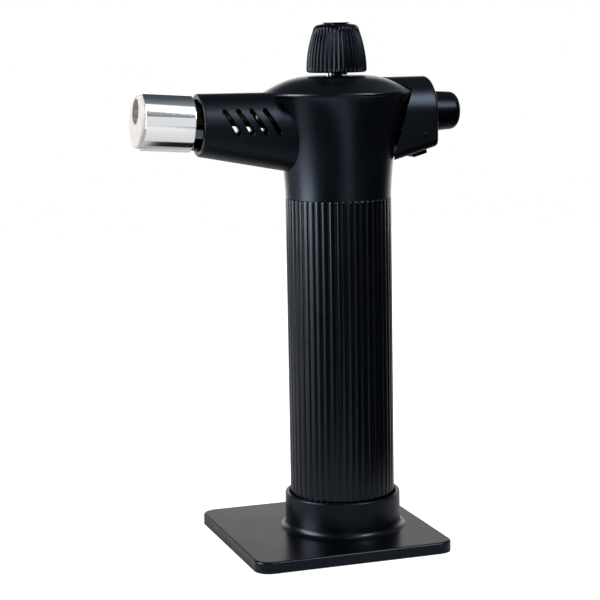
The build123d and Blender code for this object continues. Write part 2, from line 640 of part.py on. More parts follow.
# ---- burner ----
def burner_shroud():
    """Tapered shroud with slanted air slots, hooked behind the head's wall."""
    shell = shroud_solid()
    mouth = shell.faces().sort_by(Axis.X)[0].edges()
    shell = fillet(mouth, MOUTH_ROUND)
    shell -= shroud_solid(SHROUD_WALL, SHROUD_REACH + 1, SHROUD_ROOT - 1)
    lean = sqrt(SLOT_LEAN ** 2 + (SLOT_TOP_RISE - SLOT_BOTTOM_RISE) ** 2)
    angle = degrees(atan2(SLOT_BOTTOM_RISE - SLOT_TOP_RISE, SLOT_LEAN))
    slot = Rot(0, 0, angle) * SlotCenterToCenter(lean, SLOT_WIDTH)
    height = HEAD_BASE + (SLOT_TOP_RISE + SLOT_BOTTOM_RISE) / 2
    for i in range(SLOT_COUNT):
        x = -SLOT_FRONT + SLOT_LEAN / 2 + i * SLOT_PITCH
        shell -= side_slab(Pos(x, height) * slot, ROOT_HALF_WIDTH + 1)
    return shell


def nozzle_sleeve():
    """Polished thin-walled tube round the ceramic tip."""
    rear = -SLEEVE_REACH + SLEEVE_LENGTH
    sleeve = rod_x(SLEEVE_RADIUS, -SLEEVE_REACH, rear, z=SLEEVE_Z)
    sleeve = fillet(sleeve.edges().filter_by(GeomType.CIRCLE), SLEEVE_WALL * 0.7)
    bore = SLEEVE_RADIUS - SLEEVE_WALL
    return burner_place() * (sleeve - rod_x(bore, -SLEEVE_REACH - 1, rear + 1, z=SLEEVE_Z))


def ceramic_tip():
    """White ceramic plug with the off-centre flame port."""
    radius = SLEEVE_RADIUS - SLEEVE_WALL - FIXED_CLEARANCE
    tip = rod_x(radius, TIP_FRONT, TIP_REAR, z=SLEEVE_Z)
    tip = fillet(tip.edges().filter_by(GeomType.CIRCLE).sort_by(Axis.X)[0], TIP_ROUND)
    tip -= rod_x(PORT_RADIUS, TIP_FRONT - 1, HOLDER_REAR, z=BURNER_Z)
    return burner_place() * (tip - rod_x(TUBE_RADIUS + FIXED_CLEARANCE / 2, HOLDER_REAR - 1, TIP_REAR + 1, z=BURNER_Z))


def flame_holder():
    """Perforated disc at the bottom of the flame port."""
    front = TIP_FRONT + PORT_DEPTH
    disc = rod_x(PORT_RADIUS - FIXED_CLEARANCE, front, HOLDER_REAR, z=BURNER_Z)
    holes = [(0, 0)]
    for i in range(6):
        holes.append((2.4 * cos(i * pi / 3), 2.4 * sin(i * pi / 3)))
    for y, z in holes:
        disc -= rod_x(HOLDER_HOLE_RADIUS, front - 1, HOLDER_REAR + 1, y, BURNER_Z + z)
    return burner_place() * (disc)


def burner_tube():
    """Brass mixing tube with air holes behind its collar."""
    tube = rod_x(TUBE_RADIUS, TUBE_FRONT, -TUBE_REAR, z=BURNER_Z)
    tube += rod_x(TUBE_COLLAR_RADIUS, -TUBE_REAR - 4, -TUBE_REAR, z=BURNER_Z)
    tube += rod_x(TUBE_COLLAR_RADIUS, -TUBE_REAR - 13, -TUBE_REAR - 11, z=BURNER_Z)
    tube -= rod_x(TUBE_RADIUS - TUBE_WALL, TUBE_FRONT - 1, -TUBE_REAR + 1, z=BURNER_Z)
    holes_x = -TUBE_REAR - 7.5
    reach = TUBE_RADIUS + 1
    tube -= rod_z(AIR_HOLE_RADIUS, BURNER_Z - reach, BURNER_Z + reach, holes_x)
    tube -= rod_y(AIR_HOLE_RADIUS, -reach, reach, holes_x, BURNER_Z)
    entry = INSULATOR_RADIUS + FIXED_CLEARANCE
    return burner_place() * (tube - rod_z(entry, BURNER_Z - reach, BURNER_Z, -ELECTRODE_X))


def sleeve_clip():
    """Pressed steel disc that centres the sleeve, with three tabs into the shroud."""
    front = TIP_REAR + FIXED_CLEARANCE
    rear = front + CLIP_THICKNESS
    radius = SLEEVE_RADIUS - SLEEVE_WALL - FIXED_CLEARANCE
    clip = rod_x(radius, front, rear, z=SLEEVE_Z)
    strip_inner = radius - CLIP_THICKNESS
    ring = rod_x(radius, front, rear + CLIP_TAB_LENGTH, z=SLEEVE_Z)
    ring -= rod_x(strip_inner, front - 1, rear + CLIP_TAB_LENGTH + 1, z=SLEEVE_Z)
    for turn in (0, 70, -70):
        tab = block((front, rear + CLIP_TAB_LENGTH), (-CLIP_TAB_WIDTH / 2, CLIP_TAB_WIDTH / 2), (-radius, -radius / 2))
        clip += ring & (Pos(0, 0, SLEEVE_Z) * Rot(turn, 0, 0) * tab)
    return burner_place() * (clip - rod_x(TUBE_RADIUS + FIXED_CLEARANCE / 2, front - 1, rear + CLIP_TAB_LENGTH + 1, z=BURNER_Z))


def gas_pipe():
    """Brass pipe from the flow block to the jet."""
    front = -TUBE_REAR + 3
    rear = -CHAMBER_RADIUS - MOVING_GAP
    pipe = rod_x(PIPE_RADIUS, front, rear, z=BURNER_Z)
    return burner_place() * (pipe - rod_x(PIPE_RADIUS - PIPE_WALL, front - 1, rear + 1, z=BURNER_Z))


def gas_jet():
    """Brass jet in the back of the mixing tube."""
    front = -TUBE_REAR - 4
    jet = rod_x(TUBE_RADIUS - TUBE_WALL - FIXED_CLEARANCE / 2, front, -TUBE_REAR, z=BURNER_Z)
    hexagon = RegularPolygon(JET_RADIUS + 1, 6)
    plane = Plane(origin=(-TUBE_REAR, 0, BURNER_Z), x_dir=(0, 1, 0), z_dir=(1, 0, 0))
    jet += extrude(plane * hexagon, 4)
    jet += rod_x(JET_NOSE_RADIUS, front - 1.5, front + 1, z=BURNER_Z)
    jet -= rod_x(PIPE_RADIUS + FIXED_CLEARANCE / 2, -TUBE_REAR + 3, -TUBE_REAR + 6, z=BURNER_Z)
    return burner_place() * (jet - rod_x(0.5, front - 3, -TUBE_REAR + 5, z=BURNER_Z))


def electrode_insulator():
    """Ceramic bead that carries the electrode into the mixing tube."""
    bead = rod_z(INSULATOR_RADIUS, INSULATOR_BOTTOM, INSULATOR_TOP, -ELECTRODE_X)
    bead += rod_z(INSULATOR_RADIUS + 0.8, INSULATOR_BOTTOM + 1.5, BURNER_Z - TUBE_RADIUS - 0.4, -ELECTRODE_X)
    bore = ELECTRODE_RADIUS + FIXED_CLEARANCE / 2
    return burner_place() * (bead - rod_z(bore, INSULATOR_BOTTOM - 1, INSULATOR_TOP + 1, -ELECTRODE_X))


def electrode():
    """Steel wire that turns towards the flame holder inside the mixing tube."""
    start = (-ELECTRODE_X, 0, INSULATOR_BOTTOM - 1)
    corner = (-ELECTRODE_X, 0, BURNER_Z)
    end = (HOLDER_REAR + SPARK_GAP, 0, BURNER_Z)
    path = FilletPolyline(start, corner, end, radius=ELECTRODE_BEND)
    return burner_place() * (sweep((path ^ 0) * Circle(ELECTRODE_RADIUS), path=path))


def ignition_wire():
    """Insulated lead from the piezo unit to the electrode, clipped inside the head."""
    side = -PIEZO_WIDTH / 2
    foot = (burner_place() * Pos(-ELECTRODE_X, 0, INSULATOR_BOTTOM - 1)).position
    end_z = foot.Z - WIRE_RADIUS - 0.15
    start_x = PIEZO_FRONT + 2
    route = ((start_x, side - 0.05, TRIGGER_Z - 2), (start_x, side - 3.8, TRIGGER_Z - 2.4),
             (-9, side - 3.6, TRIGGER_Z - 8.6), (-22, side - 1.5, TRIGGER_Z - 10.5),
             (-34, -2.5, end_z - 0.3), (foot.X - WIRE_RADIUS, 0, end_z))
    path = FilletPolyline(*route, radius=(2 * WIRE_RADIUS, WIRE_BEND, WIRE_BEND, WIRE_BEND))
    return sweep((path ^ 0) * Circle(WIRE_RADIUS), path=path)


# ---- flow block, needle and knob ----
def flow_block():
    """Brass block with the needle seat, the stem's socket and the pipe's port."""
    body = block((-BLOCK_HALF, BLOCK_HALF), (-BLOCK_HALF, BLOCK_HALF), (BLOCK_BOTTOM, BLOCK_TOP))
    body = chamfer(body.edges().filter_by(Axis.Z), 0.8)
    socket_top = BLOCK_BOTTOM + 2 * STEM_TRAVEL + 3
    body -= rod_z(STEM_RADIUS + RUNNING_CLEARANCE, BLOCK_BOTTOM - 1, socket_top)
    body -= rod_z(SPINDLE_RADIUS / 2, socket_top - 1, SEAT_Z + 1)
    body -= rod_z(CHAMBER_RADIUS, SEAT_Z, BLOCK_TOP + 1)
    port = rod_x(PIPE_RADIUS + FIXED_CLEARANCE / 2, -BLOCK_HALF - 1, 0, z=BURNER_Z)
    return body - burner_place() * port


def gland_nut():
    """Hexagon nut that guides the needle spindle."""
    nut = Pos(0, 0, BLOCK_TOP) * extrude(RegularPolygon(NUT_RADIUS, 6), NUT_HEIGHT)
    nut += rod_z(CHAMBER_RADIUS - FIXED_CLEARANCE / 4, BLOCK_TOP - 1.0, BLOCK_TOP + 1)
    return nut - rod_z(SPINDLE_RADIUS + RUNNING_CLEARANCE, BLOCK_TOP - 3, BLOCK_TOP + NUT_HEIGHT + 1)


def needle_spindle():
    """Steel spindle with a conical needle, turned by the knob."""
    cone_top = SEAT_Z + 2.2
    spindle = rod_z(SPINDLE_RADIUS, cone_top, SPINDLE_TOP)
    half = SPINDLE_RADIUS / 2 - RUNNING_CLEARANCE
    needle = Cone(half, SPINDLE_RADIUS, cone_top - SEAT_Z, align=(Align.CENTER, Align.CENTER, Align.MIN))
    spindle += Pos(0, 0, SEAT_Z) * needle
    spindle += rod_z(half, SEAT_Z - 1.5, SEAT_Z + 0.1)
    return spindle - rod_z(0.9, SPINDLE_TOP - 6, SPINDLE_TOP + 1)


def knob_profile(inset=0.0):
    """Half outline of the knob without its flutes, moved in by an inset."""
    crown_z = KNOB_TOP - CAP_HEIGHT + CAP_RIM
    base_radius = KNOB_BASE_RADIUS - inset
    shoulder_radius = KNOB_SHOULDER_RADIUS - inset
    base = (base_radius - 0.9, KNOB_BOTTOM)
    band = (base_radius, KNOB_BOTTOM + 1.1)
    shoulder = (shoulder_radius, KNOB_TOP - 2.8)
    crown = (shoulder_radius - 2.0, crown_z)
    waist = (base_radius - 0.38 * (base_radius - shoulder_radius), KNOB_BOTTOM + 0.55 * KNOB_HEIGHT)
    lower = ThreePointArc(base, (base_radius - 0.25, KNOB_BOTTOM + 0.35), band)
    side = Spline(band, waist, shoulder)
    round_over = ThreePointArc(shoulder, (shoulder_radius - 0.65, crown_z - 0.65), crown)
    top = Polyline(crown, (0, crown_z), (0, KNOB_BOTTOM), base)
    return make_face([lower, side, round_over, top])


def flame_knob():
    """Fluted flame knob with a hub and the lug of its turning stop."""
    knob = revolve(Plane.XZ * knob_profile(), Axis.Z)
    flutes = (KNOB_BOTTOM + KNOB_BAND, KNOB_TOP - CROWN_BAND)
    groove = block((0, KNOB_BASE_RADIUS + 1), (-FLUTE_WIDTH / 2, FLUTE_WIDTH / 2), flutes)
    core = revolve(Plane.XZ * knob_profile(FLUTE_DEPTH), Axis.Z)
    grooves = Part() + [Rot(0, 0, 360 * i / FLUTE_COUNT) * groove for i in range(FLUTE_COUNT)]
    knob -= grooves - core
    stop_bottom = DOME_TOP + MOVING_GAP
    lug = block((0, STOP_TRACK_RADIUS + STOP_PIN_RADIUS), (-STOP_LUG_WIDTH / 2, STOP_LUG_WIDTH / 2),
                (stop_bottom, KNOB_BOTTOM + 1))
    knob += Rot(0, 0, STOP_LUG_ANGLE) * lug
    knob += rod_z(HUB_RADIUS, DOME_TOP - 0.8, KNOB_BOTTOM + 1)
    knob -= rod_z(SPINDLE_RADIUS + 0.02, DOME_TOP - 2, SPINDLE_TOP)
    knob -= rod_z(1.2, SPINDLE_TOP - 1, KNOB_TOP)
    return knob - rod_z(CAP_PLUG_RADIUS, SPINDLE_TOP + 2, KNOB_TOP + 1)


def knob_cap():
    """Dished cap that plugs the screw's hole, with a slot across it."""
    root = KNOB_TOP - CAP_HEIGHT
    profile = polygon((0, KNOB_TOP), (CAP_RADIUS, KNOB_TOP), (CAP_RADIUS, KNOB_TOP - CAP_RIM),
                      (CAP_PLUG_RADIUS, root + CAP_RIM), (CAP_PLUG_RADIUS - FIXED_CLEARANCE / 2, root - 1.4),
                      (0, root - 1.4))
    cap = revolve(Plane.XZ * profile, Axis.Z)
    slot = Box(3 * CAP_RADIUS, CAP_SLOT_WIDTH, CAP_HEIGHT)
    return cap - Pos(0, 0, KNOB_TOP) * Rot(0, 0, CAP_SLOT_TURN) * slot


def knob_screw():
    """Screw that holds the knob on the spindle."""
    seat = SPINDLE_TOP + 2
    screw = rod_z(0.85, SPINDLE_TOP - 5, seat + 0.1)
    return screw + rod_z(2.2, seat, seat + 1.5)


def knob_stop_pin():
    """Small pin on the dome that limits the knob's turn."""
    return rod_z(STOP_PIN_RADIUS, DOME_TOP - 1.6, KNOB_BOTTOM - MOVING_GAP, -STOP_TRACK_RADIUS)


# ---- rear housing, trigger and piezo unit ----
def lock_place():
    """Frame on the housing's sloping underside: X along the slope, Z out of the plastic, upwards."""
    height = HOUSING_BOTTOM - (HOUSING_REACH - LOCK_X) * tan(radians(HOUSING_SLOPE))
    return Pos(LOCK_X, 0, height) * Rot(0, -HOUSING_SLOPE, 0)


def rear_housing():
    """Rear housing with the trigger's guide, the lock's slot and a neck into the head."""
    solid = housing_solid(0, 0, HOUSING_EDGE_RADIUS)
    end = solid.faces().sort_by(Axis.X)[-1]
    solid = fillet(end.edges(), HOUSING_END_RADIUS)
    solid -= head_solid(-HOUSING_GAP)
    solid -= face_cone()
    solid -= block((-HOUSING_REACH, NECK_FRONT), (-HOUSING_REACH, HOUSING_REACH), (0, KNOB_TOP))
    solid += housing_neck()
    cavity_edge = HOUSING_EDGE_RADIUS - 1.5
    solid -= housing_solid(HOUSING_WALL + HOUSING_NECK_STEP, NECK_FRONT - 5, cavity_edge)
    solid -= housing_solid(HOUSING_WALL, CAVITY_FRONT, cavity_edge)
    reach = 2 * HOUSING_REACH
    low_room = block((LOCK_CAVITY_FRONT, reach), (-reach, reach), (0, HEAD_BASE + LOCK_CAVITY_RISE))
    solid -= housing_solid(HOUSING_WALL, LOCK_CAVITY_FRONT, cavity_edge) & low_room
    bore = TRIGGER_RADIUS + MOVING_GAP
    solid -= rod_x(bore, HOUSING_REACH - HOUSING_WALL - 1, HOUSING_REACH + 1, z=TRIGGER_Z)
    half = LOCK_LENGTH / 2 + MOVING_GAP
    reach = (LOCK_WIDTH + LOCK_TRAVEL) / 2 + MOVING_GAP
    slot = block((-half, half), (-reach, reach), (-3, HOUSING_WALL + 1))
    return solid - lock_place() * slot


def lock_slider():
    """Lock slider: a tab under the housing, a plate inside and its catch."""
    start = -LOCK_TRAVEL / 2
    half = LOCK_LENGTH / 2
    wide = (start - LOCK_WIDTH / 2, start + LOCK_WIDTH / 2)
    tab = block((-half, half), wide, (-LOCK_DROP, HOUSING_WALL + MOVING_GAP))
    edges = tab.edges().filter_by(Axis.Y).group_by(Axis.Z)[0]
    tab = chamfer(edges, 0.4)
    floor = HOUSING_WALL + MOVING_GAP
    plate = block((-half - 0.6, half + 0.2), (wide[0] - 1, wide[1] + 1), (floor - 0.1, floor + LOCK_PLATE))
    catch_top = floor + LOCK_PLATE + LOCK_CATCH_HEIGHT
    post = block((-half, -half + LOCK_CATCH_LENGTH), (start - 1.5, start + 1.5), (floor, catch_top))
    return lock_place() * (tab + plate + post)


def trigger_button():
    """Push button with its stop flange, inner boss and the finger that works the lever."""
    front = FLANGE_REST - TRIGGER_INSIDE
    outline = polygon((front, 0), (front, TRIGGER_RADIUS), (HOUSING_REACH, TRIGGER_RADIUS),
                      (TRIGGER_END, TRIGGER_END_RADIUS), (TRIGGER_END, 0))
    outline = fillet(outline.vertices().sort_by(Axis.X)[-2:].sort_by(Axis.Y)[-1], TRIGGER_ROUND)
    button = Pos(0, 0, TRIGGER_Z) * revolve(Plane.XZ * outline, Axis.X)
    button += rod_x(TRIGGER_RADIUS + TRIGGER_FLANGE, FLANGE_REST - 1.5, FLANGE_REST, z=TRIGGER_Z)
    inner_end = TRIGGER_END - TRIGGER_WALL - 1
    button -= rod_x(TRIGGER_RADIUS - TRIGGER_WALL, front - 1, HOUSING_REACH, z=TRIGGER_Z)
    button -= rod_x(TRIGGER_END_RADIUS - TRIGGER_WALL, front - 1, inner_end, z=TRIGGER_Z)
    button += rod_x(PLUNGER_RADIUS + 0.3, PLUNGER_END + 0.1, inner_end + 0.5, z=TRIGGER_Z)
    top = LEVER_TIP_Z + FINGER_THICKNESS / 2
    low = LEVER_TIP_Z - FINGER_THICKNESS / 2
    push_face = LEVER_TIP_X + LEVER_TIP_RADIUS + MOVING_GAP
    wide = (-FINGER_HALF_WIDTH, FINGER_HALF_WIDTH)
    button += block((push_face, front + 4), wide, (low, top))
    skirt = TRIGGER_Z - TRIGGER_RADIUS + TRIGGER_WALL / 2
    return button + block((front, front + 4), wide, (low, skirt))


def piezo_body():
    """Piezo igniter unit."""
    half = (PIEZO_WIDTH / 2, PIEZO_HEIGHT / 2)
    body = block((PIEZO_FRONT, PIEZO_REAR), (-half[0], half[0]), (TRIGGER_Z - half[1], TRIGGER_Z + half[1]))
    body = chamfer(body.edges().filter_by(Axis.X), 0.8)
    stroke = TRIGGER_TRAVEL + 6.5
    return body - rod_x(PLUNGER_RADIUS + RUNNING_CLEARANCE, PIEZO_REAR - stroke, PIEZO_REAR + 1, z=TRIGGER_Z)


def piezo_plunger():
    """Plunger of the igniter, pushed by the trigger."""
    return rod_x(PLUNGER_RADIUS, PIEZO_REAR - 6, PLUNGER_END, z=TRIGGER_Z)


def trigger_spring():
    """Return spring round the plunger."""
    length = TRIGGER_END - TRIGGER_WALL - 1 - PIEZO_REAR
    mean = PLUNGER_RADIUS + 0.3 + MOVING_GAP + SPRING_WIRE / 2
    spring = compression_spring(mean, SPRING_WIRE / 2, length, 6)
    return Pos(PIEZO_REAR, 0, TRIGGER_Z) * Rot(0, 90, 0) * spring


PARTS = {
    "stand_base": stand_base,
    "grip_sleeve": grip_sleeve,
    "fuel_tank": fuel_tank,
    "tank_bottom_cap": tank_bottom_cap,
    "fill_valve_body": fill_valve_body,
    "fill_valve_seal": fill_valve_seal,
    "fill_valve_stem": fill_valve_stem,
    "fill_valve_spring": fill_valve_spring,
    "outlet_valve_body": outlet_valve_body,
    "outlet_seal_ring": outlet_seal_ring,
    "outlet_valve_stem": outlet_valve_stem,
    "outlet_valve_spring": outlet_valve_spring,
    "lever_bracket": lever_bracket,
    "lever_pin": lever_pin,
    "gas_lever": gas_lever,
    "head_left_shell": lambda: head_half(-1),
    "head_right_shell": lambda: head_half(1),
    "head_screws": head_screws,
    "burner_shroud": burner_shroud,
    "nozzle_sleeve": nozzle_sleeve,
    "ceramic_tip": ceramic_tip,
    "flame_holder": flame_holder,
    "burner_tube": burner_tube,
    "sleeve_clip": sleeve_clip,
    "gas_pipe": gas_pipe,
    "gas_jet": gas_jet,
    "electrode_insulator": electrode_insulator,
    "electrode": electrode,
    "ignition_wire": ignition_wire,
    "flow_block": flow_block,
    "gland_nut": gland_nut,
    "needle_spindle": needle_spindle,
    "flame_knob": flame_knob,
    "knob_cap": knob_cap,
    "knob_screw": knob_screw,
    "knob_stop_pin": knob_stop_pin,
    "rear_housing": rear_housing,
    "lock_slider": lock_slider,
    "trigger_button": trigger_button,
    "piezo_body": piezo_body,
    "piezo_plunger": piezo_plunger,
    "trigger_spring": trigger_spring,
}

os.makedirs("parts", exist_ok=True)
for name, make in PARTS.items():
    export_step(make(), f"parts/{name}.step")
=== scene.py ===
"""Butane hand torch in its square stand: finishes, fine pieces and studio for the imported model."""

import json
import logging
import math
from abc import ABC, abstractmethod
from collections.abc import Iterable, Mapping, Sequence
from dataclasses import dataclass, replace
from enum import Enum
from typing import Any, Union

import bmesh
import bpy
from bmesh.types import BMEdge, BMesh, BMVert
from bpy.types import NodeSocket
from mathutils import Matrix, Vector


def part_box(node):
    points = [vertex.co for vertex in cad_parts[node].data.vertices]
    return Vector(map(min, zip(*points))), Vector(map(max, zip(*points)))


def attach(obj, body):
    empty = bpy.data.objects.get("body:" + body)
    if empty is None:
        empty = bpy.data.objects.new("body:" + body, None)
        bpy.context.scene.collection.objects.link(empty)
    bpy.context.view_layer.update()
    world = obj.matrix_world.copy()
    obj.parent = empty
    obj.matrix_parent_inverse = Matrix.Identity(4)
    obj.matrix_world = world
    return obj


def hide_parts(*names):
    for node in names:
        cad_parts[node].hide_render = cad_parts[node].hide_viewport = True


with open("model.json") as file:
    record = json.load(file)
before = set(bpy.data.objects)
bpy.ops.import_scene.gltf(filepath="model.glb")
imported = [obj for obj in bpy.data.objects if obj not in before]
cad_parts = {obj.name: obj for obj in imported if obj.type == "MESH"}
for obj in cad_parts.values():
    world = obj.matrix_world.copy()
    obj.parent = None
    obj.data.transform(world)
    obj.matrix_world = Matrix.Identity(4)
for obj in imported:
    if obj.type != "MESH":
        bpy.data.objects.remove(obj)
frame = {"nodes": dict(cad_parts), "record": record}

LOG = logging.getLogger("torch")
MM = 0.001
MERGE_DISTANCE = 1e-7
AVERAGE_NOISE = 0.5
NOISE_ROUGHNESS = 0.55
STUDIO_TURN = 20.0  # the studio's turn round the torch, in degrees

Colour = tuple[float, float, float]
Point = tuple[float, float, float]
Pair = tuple[float, float]
Number = Union[float, "Signal"]

WHITE: Colour = (1.0, 1.0, 1.0)
BLACK: Colour = (0.0, 0.0, 0.0)
SATIN_BLACK: Colour = (0.0004, 0.0005, 0.0008)


class Slot(Enum):
    """The record's material slots."""

    STAND = "stand_plastic"
    GRIP = "grip_plastic"
    HEAD = "head_plastic"
    SHROUD = "shroud_plastic"
    CONTROL = "control_plastic"
    TANK = "tank_plastic"
    SLEEVE = "polished_steel"
    CERAMIC = "ceramic"
    BRASS = "brass"
    STEEL = "steel"
    PIEZO = "piezo_plastic"
    SEAL = "seal_rubber"
    WIRE = "wire_cover"


class Body(Enum):
    """The moving bodies that new pieces ride on."""

    TORCH = "torch"
    KNOB = "knob"


# ---- shader graph ----
class Signal:
    """A shader value that can be used in arithmetic.

    Args:
        graph: The graph that owns the value.
        socket: The output socket that gives the value.
    """

    def __init__(self, graph: "Graph", socket: NodeSocket) -> None:
        """Keeps the graph and the socket."""
        self.graph = graph
        self.socket = socket

    def __add__(self, other: Number) -> "Signal":
        """Sum."""
        return self.graph.maths("ADD", self, other)

    def __radd__(self, other: Number) -> "Signal":
        """Sum with a number on the left."""
        return self.graph.maths("ADD", other, self)

    def __sub__(self, other: Number) -> "Signal":
        """Difference."""
        return self.graph.maths("SUBTRACT", self, other)

    def __rsub__(self, other: Number) -> "Signal":
        """Difference from a number on the left."""
        return self.graph.maths("SUBTRACT", other, self)

    def __mul__(self, other: Number) -> "Signal":
        """Product."""
        return self.graph.maths("MULTIPLY", self, other)

    def __rmul__(self, other: Number) -> "Signal":
        """Product with a number on the left."""
        return self.graph.maths("MULTIPLY", other, self)

    def __truediv__(self, other: Number) -> "Signal":
        """Quotient."""
        return self.graph.maths("DIVIDE", self, other)

    def band(self, low: float, high: float) -> "Signal":
        """A soft step that is 0 below one value and 1 above another.

        Args:
            low: Value at which the step begins.
            high: Value at which the step is complete.

        Returns:
            The step.
        """
        settings = {"interpolation_type": "SMOOTHSTEP"}
        sockets = {"Value": self, "From Min": low, "From Max": high}
        return Signal(self.graph, self.graph.add("ShaderNodeMapRange", settings, sockets).outputs[0])

    def swing(self, size: float) -> "Signal":
        """How far a noise is from its average, times a size."""
        return (self - AVERAGE_NOISE) * size


class Graph:
    """The node graph of one material or world.

    Args:
        tree: The node tree, which is emptied first.
    """

    MIX_FIRST = 6  # places of the colour sockets on a Mix node
    MIX_SECOND = 7
    MIX_RESULT = 2

    def __init__(self, tree: bpy.types.NodeTree) -> None:
        """Takes an emptied tree."""
        self.tree = tree
        self.tree.nodes.clear()

    def add(self, kind: str, settings: Mapping[str, Any] | None = None,
            sockets: Mapping[int | str, Any] | None = None) -> bpy.types.Node:
        """Adds one node of any type.

        Args:
            kind: The node's type name.
            settings: Properties that are set first, such as a Math node's operation.
            sockets: Values, signals or sockets by input name or number.

        Returns:
            The new node.
        """
        node = self.tree.nodes.new(kind)
        for key, value in (settings or {}).items():
            setattr(node, key, value)
        for key, value in (sockets or {}).items():
            if isinstance(value, Signal):
                value = value.socket
            if isinstance(value, NodeSocket):
                self.tree.links.new(value, node.inputs[key])
            else:
                node.inputs[key].default_value = value
        return node

    def maths(self, operation: str, first: Number, second: Number) -> Signal:
        """One Math node."""
        node = self.add("ShaderNodeMath", {"operation": operation}, {0: first, 1: second})
        return Signal(self, node.outputs[0])

    def vector_maths(self, operation: str, sockets: Mapping[int | str, Any]) -> bpy.types.Node:
        """One Vector Math node."""
        return self.add("ShaderNodeVectorMath", {"operation": operation}, sockets)

    def length(self, vector: NodeSocket) -> Signal:
        """A vector's length."""
        return Signal(self, self.vector_maths("LENGTH", {0: vector}).outputs["Value"])

    def camera_ray(self) -> Signal:
        """1 where a surface is looked at directly, 0 in its reflections and in bounced light."""
        return Signal(self, self.add("ShaderNodeLightPath").outputs["Is Camera Ray"])

    def place(self) -> NodeSocket:
        """The piece's own coordinates, in metres."""
        return self.add("ShaderNodeTexCoord").outputs["Object"]

    def scaled(self, stretch: Point) -> NodeSocket:
        """The piece's coordinates, stretched along its axes."""
        return self.add("ShaderNodeMapping", {}, {"Vector": self.place(), "Scale": stretch}).outputs[0]

    def noise(self, where: NodeSocket, size: float, detail: float = 3.0) -> Signal:
        """Cloudy noise of about 0.5 on average.

        Args:
            where: Coordinates in metres.
            size: Size of its features, in metres.
            detail: Number of finer layers.

        Returns:
            The noise value.
        """
        sockets = {"Vector": where, "Scale": 1.0 / size, "Detail": detail, "Roughness": NOISE_ROUGHNESS}
        return Signal(self, self.add("ShaderNodeTexNoise", {}, sockets).outputs[0])

    def mix(self, share: Number, first: NodeSocket | Colour, second: NodeSocket | Colour) -> NodeSocket:
        """A colour between two others.

        Args:
            share: The second colour's share, from 0 to 1.
            first: The colour at 0.
            second: The colour at 1.

        Returns:
            The colour's socket.
        """
        first, second = ((*end, 1.0) if isinstance(end, tuple) else end for end in (first, second))
        sockets = {0: share, self.MIX_FIRST: first, self.MIX_SECOND: second}
        return self.add("ShaderNodeMix", {"data_type": "RGBA"}, sockets).outputs[self.MIX_RESULT]

    def bump(self, height: Signal, depth: float) -> NodeSocket:
        """A bumped normal, from a height of 0 to 1 and the depth of 1 in metres."""
        sockets = {"Height": height, "Distance": depth, "Strength": 1.0}
        return self.add("ShaderNodeBump", {}, sockets).outputs[0]

    def axes(self, vector: NodeSocket, turn: float = 0.0) -> tuple[Signal, Signal, Signal]:
        """A vector's three parts, after a turn about Z.

        Args:
            vector: The vector.
            turn: The turn in degrees.

        Returns:
            The parts along X, Y and Z.
        """
        sockets = {"Vector": vector, "Angle": math.radians(turn)}
        turned = self.add("ShaderNodeVectorRotate", {"rotation_type": "Z_AXIS"}, sockets).outputs[0]
        parts = self.add("ShaderNodeSeparateXYZ", {}, {0: turned})
        return tuple(Signal(self, output) for output in parts.outputs)

    def surface(self, sockets: Mapping[int | str, Any]) -> None:
        """Ends a material's graph in one principled surface."""
        shader = self.add("ShaderNodeBsdfPrincipled", {}, sockets)
        self.add("ShaderNodeOutputMaterial", {}, {"Surface": shader.outputs[0]})


# ---- finishes ----
@dataclass(frozen=True)
class Finish(ABC):
    """What a surface is made of and how it is worn."""

    name: str
    colour: Colour
    roughness: float

    def material(self) -> bpy.types.Material:
        """Makes the material the first time that it is asked for.

        Returns:
            The material.
        """
        made = bpy.data.materials.get(self.name)
        if made is None:
            made = bpy.data.materials.new(self.name)
            made.use_nodes = True
            made.diffuse_color = (*self.colour, 1.0)
            self.dress(Graph(made.node_tree))
        return made

    @abstractmethod
    def dress(self, graph: Graph) -> None:
        """Builds the material's graph."""

    def tinted(self, factor: float) -> Colour:
        """The finish's colour made lighter or darker by a factor."""
        return tuple(min(1.0, channel * factor) for channel in self.colour)


@dataclass(frozen=True)
class MouldedPlastic(Finish):
    """Satin moulded plastic with a fine spark-eroded grain and faint handling marks."""

    grain: float = 0.35 * MM
    grain_depth: float = 0.004 * MM
    specular: float = 0.26
    # painted reflection colour: a blue tint on the reflections that stands in for bluish light from the
    # surroundings
    painted_reflection_tint: Colour = (0.56, 0.72, 1.0)
    patch: float = 22 * MM
    patch_band: Pair = (0.3, 0.7)
    patch_tone: float = 1.3
    patch_swing: float = 0.12
    rub: float = 6 * MM
    rub_band: Pair = (0.60, 0.78)
    rub_share: float = 0.5
    rub_tone: float = 1.7
    rub_polish: float = 0.10
    scratch: float = 0.5 * MM
    scratch_stretch: Point = (1.0, 1.0, 0.08)
    scratch_band: Pair = (0.72, 0.80)
    scratch_haze: float = 0.06

    def dress(self, graph: Graph) -> None:
        """Builds the grain, the uneven sheen, the rubbed patches and the scratches.

        Args:
            graph: The material's graph.
        """
        place = graph.place()
        grain = graph.noise(place, self.grain, detail=4.0)
        patches = graph.noise(place, self.patch)
        rubbed = graph.noise(place, self.rub, detail=5.0).band(*self.rub_band)
        streaks = graph.noise(graph.scaled(self.scratch_stretch), self.scratch, detail=2.0)
        scratches = streaks.band(*self.scratch_band)
        base = graph.mix(patches.band(*self.patch_band), self.colour, self.tinted(self.patch_tone))
        worn = graph.mix(rubbed * self.rub_share, base, self.tinted(self.rub_tone))
        sheen = self.roughness + patches.swing(self.patch_swing)
        sheen = sheen - rubbed * self.rub_polish + scratches * self.scratch_haze
        graph.surface({"Base Color": worn, "Roughness": sheen, "Normal": graph.bump(grain, self.grain_depth),
                       "Specular IOR Level": self.specular, "Specular Tint": (*self.painted_reflection_tint, 1.0)})


